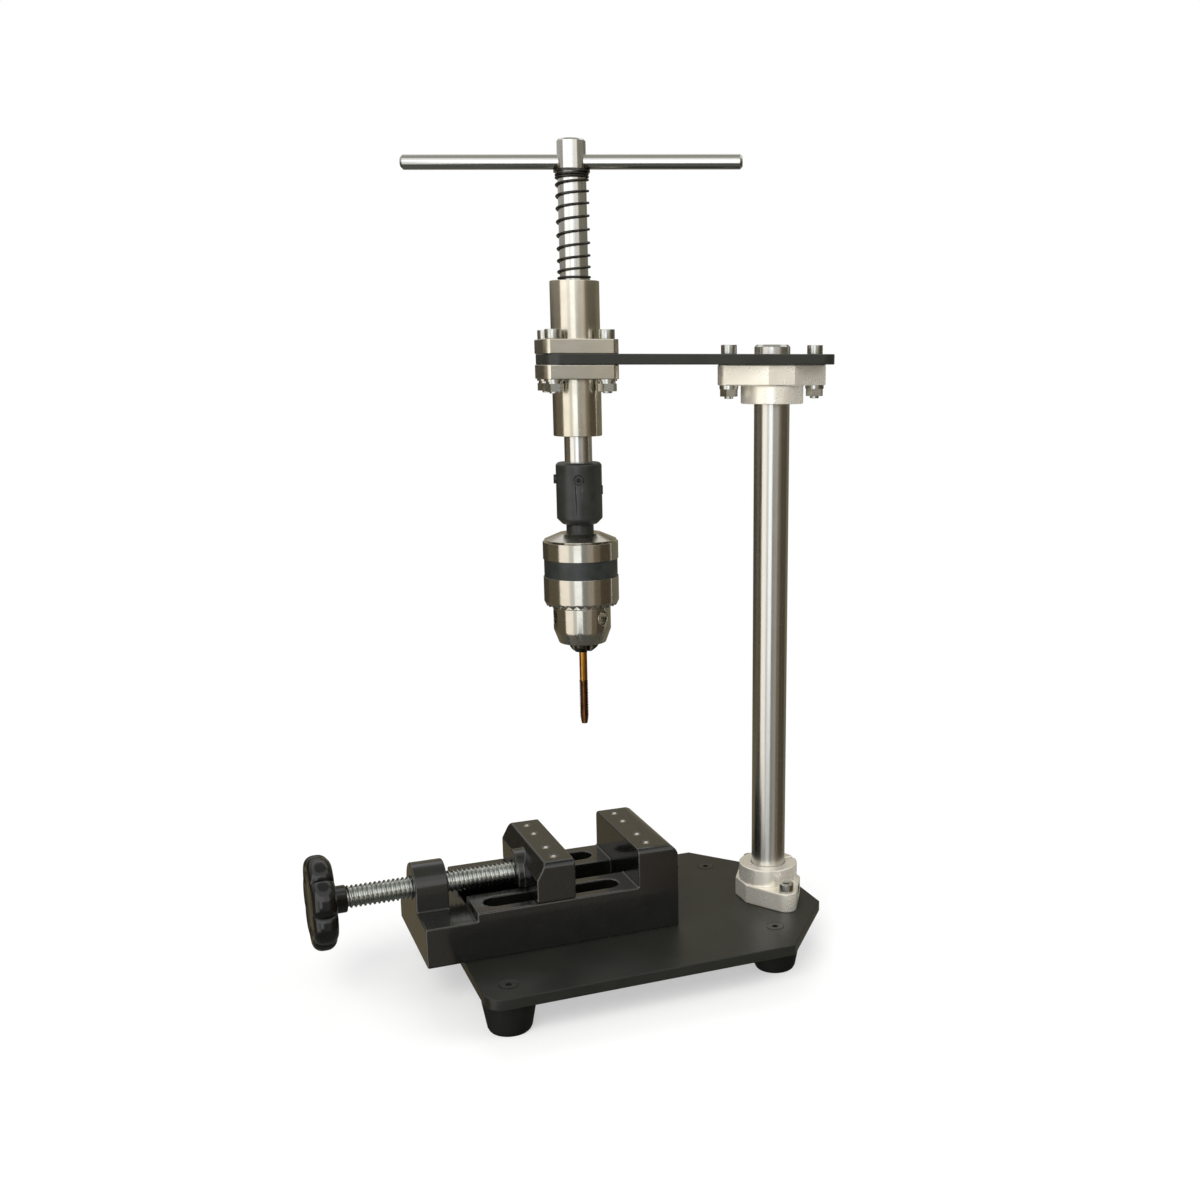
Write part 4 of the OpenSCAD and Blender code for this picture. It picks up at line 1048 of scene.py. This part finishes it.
@dataclass(frozen=True)
class Card:
    """One upright sheet round the stand, seen only in reflections.

    Attributes:
        name: What it stands for.
        start_deg: Where it begins, counted round the spindle from +X.
        end_deg: Where it ends.
        colour: Its colour in a mirror.
        strength: One shows the colour as written.
        low: Height of its lower edge in metres; it may hang below the floor, which mirrors don't see.
        high: Height of its upper edge.
    """

    name: str
    start_deg: float
    end_deg: float
    colour: str
    strength: float = 1.0
    low: float = -0.9
    high: float = 1.25


@dataclass(frozen=True)
class Sheet:
    """One flat disc above or below the stand, seen only in reflections.

    Attributes:
        name: What it stands for.
        radius: Its radius in metres.
        height: Its height.
        colour: Its colour in a mirror.
    """

    name: str
    radius: float
    height: float
    colour: str


@dataclass(frozen=True)
class Lamp:
    """One soft square lamp, kept out of reflections.

    Attributes:
        name: What it is for.
        place: Where it hangs, in metres.
        size: Side of its square face.
        watts: Its power.
    """

    name: str
    place: Point
    size: float
    watts: float


@dataclass(frozen=True)
class PhotoCamera:
    """Camera at the photograph's viewing angle, placed from the middle of the column.

    Attributes:
        sensor_mm: Width of the sensor.
        lens_mm: Focal length.
        shift: Shift of the frame across and up, as shares of its width.
        left: How far to the left of the column's axis it stands.
        forward: How far in front of that axis.
        height: Its height.
        down_deg: How far it looks down.
        right_deg: How far it looks to the right of straight back.
        near: Distance from which it sees.
    """

    sensor_mm: float = 36
    lens_mm: float = 40.01
    shift: tuple[float, float] = (-0.1001, 0.0603)
    left: float = 264.755 * MM
    forward: float = 549.42 * MM
    height: float = 271.70 * MM
    down_deg: float = 13.06
    right_deg: float = 23.55
    near: float = 0.01

    def build(self) -> None:
        """Sets the camera up and makes it the scene's own."""
        lens = bpy.data.cameras.new("camera")
        lens.sensor_width = self.sensor_mm
        lens.lens = self.lens_mm
        lens.shift_x, lens.shift_y = self.shift
        lens.clip_start = self.near
        camera = bpy.data.objects.new("camera", lens)
        low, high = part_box("column")
        axis = (low + high) / 2
        camera.location = (axis.x - self.left, axis.y - self.forward, self.height)
        camera.rotation_euler = (math.radians(90 - self.down_deg), 0.0, math.radians(-self.right_deg))
        bpy.context.scene.collection.objects.link(camera)
        bpy.context.scene.camera = camera


@dataclass
class Studio:
    """Pale floor, soft lamps, sheets for the metal to mirror, and the camera.

    Attributes:
        floor_half: Half the side of the floor.
        floor_fade: Distances from the stand between which the floor turns to pure white.
        floor_glow: Share of pure white that the floor shows at the stand.
        daylight: Strength of the surroundings as light on the object.
        aim: Height that the lamps point at.
        lamps: The lamps.
        card_r: Distance of the cards from the spindle.
        card_step_deg: Width of one flat face of a card.
        cards: The upright sheets.
        sheets: The flat discs overhead and under the floor.
        sheet_sides: Corners of a disc.
    """

    floor_half: float = 3.0
    floor_fade: tuple[float, float] = (0.18, 0.7)
    floor_glow: float = 0.5
    daylight: float = 0.62
    aim: float = 0.17
    lamps: tuple[Lamp, ...] = (
        Lamp("key_lamp", (-0.95, -1.1, 1.35), 1.1, 24.0),
        Lamp("fill_lamp", (1.2, -0.7, 1.0), 1.0, 9.0),
        Lamp("back_lamp", (0.3, 1.2, 1.4), 1.0, 8.0),
    )
    card_r: float = 1.6
    card_step_deg: float = 5
    cards: tuple[Card, ...] = (
        Card("left_back", 60, 85, "#958d79"),
        Card("left_wall", 85, 135, "#4a453c", low=-0.32, high=0.42),
        Card("left_table", 85, 135, "#736a56", high=-0.32),
        Card("left_corner", 135, 183, "#665e4b", high=0.42),
        Card("left_upper_wall", 85, 183, "#bcbab6", low=0.42),
        Card("left_window", 183, 216, "#fff8ee", 1.4, high=0.42),
        Card("left_frame", 216, 231, "#e8eae6", high=0.42),
        Card("front_window", 231, 254, "#f8fcff", 1.7, low=-0.45, high=0.42),
        Card("front_table", 231, 254, "#5c5e59", high=-0.45),
        Card("front_frame", 254, 272, "#8c908e", high=0.42),
        Card("upper_window", 183, 267, "#fcfdff", 1.7, low=0.42),
        Card("upper_frame", 267, 300, "#eceae6", 1.5, low=0.42),
        Card("right_gap", 272, 291, "#a79f92", high=0.42),
        Card("right_wall", 291, 313, "#776b5b", high=0.42),
        Card("right_corner", 313, 365, "#52493b", high=0.42),
        Card("right_upper_wall", 300, 365, "#8f8d80", low=0.42),
        Card("back_wall", 5, 60, "#7b7868"),
    )
    sheets: tuple[Sheet, ...] = (
        Sheet("ceiling", 0.9, 1.6, "#a9aba2"),
        Sheet("table", 1.6, -0.9, "#5c5e59"),
    )
    sheet_sides: int = 36

    def build(self) -> None:
        """Sets up everything around the stand."""
        self._floor()
        for card in self.cards:
            self._card(card)
        for sheet in self.sheets:
            points = [(x, y, sheet.height) for x, y in circle(0.0, 0.0, sheet.radius, self.sheet_sides)]
            self._reflector(sheet.name, points, [tuple(range(self.sheet_sides))], sheet.colour)
        self._world()
        for lamp in self.lamps:
            self._lamp(lamp)
        PhotoCamera().build()
        bpy.context.scene.view_settings.view_transform = "Standard"
        LOG.info("studio: %d cards, %d sheets, %d lamps", len(self.cards), len(self.sheets), len(self.lamps))

    def _floor(self) -> None:
        """Lays the pale floor under the feet; it turns pure white away from the stand."""
        half = self.floor_half
        mesh = bpy.data.meshes.new("floor")
        edge = [(-half, -half, 0), (half, -half, 0), (half, half, 0), (-half, half, 0)]
        mesh.from_pydata(edge, [], [(0, 1, 2, 3)])
        floor = bpy.data.objects.new("floor", mesh)
        bpy.context.scene.collection.objects.link(floor)
        # Matt seamless paper: warm white, with no gloss of its own
        material = bpy.data.materials.new("pale_studio_paper")
        tree = empty_tree(material)
        paper = add_node(tree, "BsdfPrincipled", {
            "Base Color": linear("#f6f5f2"), "Roughness": 0.9, "IOR": 1.3,
        })
        glow = add_node(tree, "Emission", {"Color": (1, 1, 1, 1), "Strength": 1.0})
        place = add_node(tree, "TexCoord").outputs["Object"]
        reach = add_node(tree, "VectorMath", {0: place}, operation="LENGTH").outputs["Value"]
        fade = add_node(tree, "MapRange", {
            "Value": reach, "From Min": self.floor_fade[0], "From Max": self.floor_fade[1],
            "To Min": self.floor_glow, "To Max": 1.0,
        }, interpolation_type="SMOOTHSTEP")
        seen = add_node(tree, "LightPath").outputs["Is Camera Ray"]
        share = add_node(tree, "Math", {0: seen, 1: fade.outputs[0]}, operation="MULTIPLY")
        mix = add_node(tree, "MixShader", {0: share.outputs[0], 1: paper.outputs[0], 2: glow.outputs[0]})
        add_node(tree, "OutputMaterial", {"Surface": mix.outputs[0]})
        mesh.materials.append(material)
        floor.visible_glossy = False
        LOG.info("floor: %.1f m wide", 2 * half)

    def _card(self, card: Card) -> None:
        """Places one card round the spindle.

        Args:
            card: The card.
        """
        low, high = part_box("spindle_shaft")
        centre = (low + high) / 2
        span = card.end_deg - card.start_deg
        steps = max(2, round(span / self.card_step_deg))
        angles = [math.radians(card.start_deg + span * k / steps) for k in range(steps + 1)]
        points = [(centre.x + self.card_r * math.cos(angle), centre.y + self.card_r * math.sin(angle), height)
                  for angle in angles for height in (card.low, card.high)]
        faces = [(2 * k, 2 * k + 2, 2 * k + 3, 2 * k + 1) for k in range(steps)]
        self._reflector(card.name, points, faces, card.colour, card.strength)

    def _reflector(
        self, name: str, points: Sequence[Point], faces: Sequence[Sequence[int]], colour: str,
        strength: float = 1.0,
    ) -> None:
        """Makes a sheet that only mirrors see.

        Args:
            name: Its name.
            points: Its points in metres.
            faces: Its faces.
            colour: Its colour in a mirror.
            strength: One shows the colour as written.
        """
        mesh = bpy.data.meshes.new(name)
        mesh.from_pydata(points, [], faces)
        piece = bpy.data.objects.new(name, mesh)
        bpy.context.scene.collection.objects.link(piece)
        material = bpy.data.materials.new(f"card_{name}")
        tree = empty_tree(material)
        glow = add_node(tree, "Emission", {"Color": linear(colour), "Strength": strength})
        add_node(tree, "OutputMaterial", {"Surface": glow.outputs[0]})
        mesh.materials.append(material)
        piece.visible_camera = False
        piece.visible_diffuse = False
        piece.visible_shadow = False
        piece.visible_transmission = False

    def _world(self) -> None:
        """Makes the surroundings white to the eye and to mirrors, and softer as light."""
        world = bpy.data.worlds.new("studio")
        bpy.context.scene.world = world
        tree = empty_tree(world)
        path = add_node(tree, "LightPath").outputs
        seen = add_node(tree, "Math", {
            0: path["Is Camera Ray"], 1: path["Is Glossy Ray"],
        }, operation="MAXIMUM").outputs[0]
        seen = add_node(tree, "Math", {
            0: seen, 1: path["Is Transmission Ray"],
        }, operation="MAXIMUM").outputs[0]
        lit = add_node(tree, "Background", {"Color": linear("#f4f6fa"), "Strength": self.daylight})
        white = add_node(tree, "Background", {"Color": (1, 1, 1, 1), "Strength": 1.0})
        mix = add_node(tree, "MixShader", {0: seen, 1: lit.outputs[0], 2: white.outputs[0]})
        add_node(tree, "OutputWorld", {"Surface": mix.outputs[0]})

    def _lamp(self, lamp: Lamp) -> None:
        """Hangs one lamp, pointed at the middle of the stand.

        Args:
            lamp: The lamp.
        """
        light = bpy.data.lights.new(lamp.name, "AREA")
        light.size = lamp.size
        light.energy = lamp.watts
        holder = bpy.data.objects.new(lamp.name, light)
        holder.location = lamp.place
        way = Vector((0, 0, self.aim)) - Vector(lamp.place)
        holder.rotation_euler = way.to_track_quat("-Z", "Y").to_euler()
        holder.visible_glossy = False
        bpy.context.scene.collection.objects.link(holder)


def main() -> None:
    """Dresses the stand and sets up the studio."""
    logging.basicConfig(level=logging.INFO, format="%(name)s: %(message)s")
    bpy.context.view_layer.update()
    for part in (Base(), ArmHead(), ReturnSpring(), SpindleTrain(), Vise(), Studio()):
        part.build()


if __name__ == "__main__":
    main()
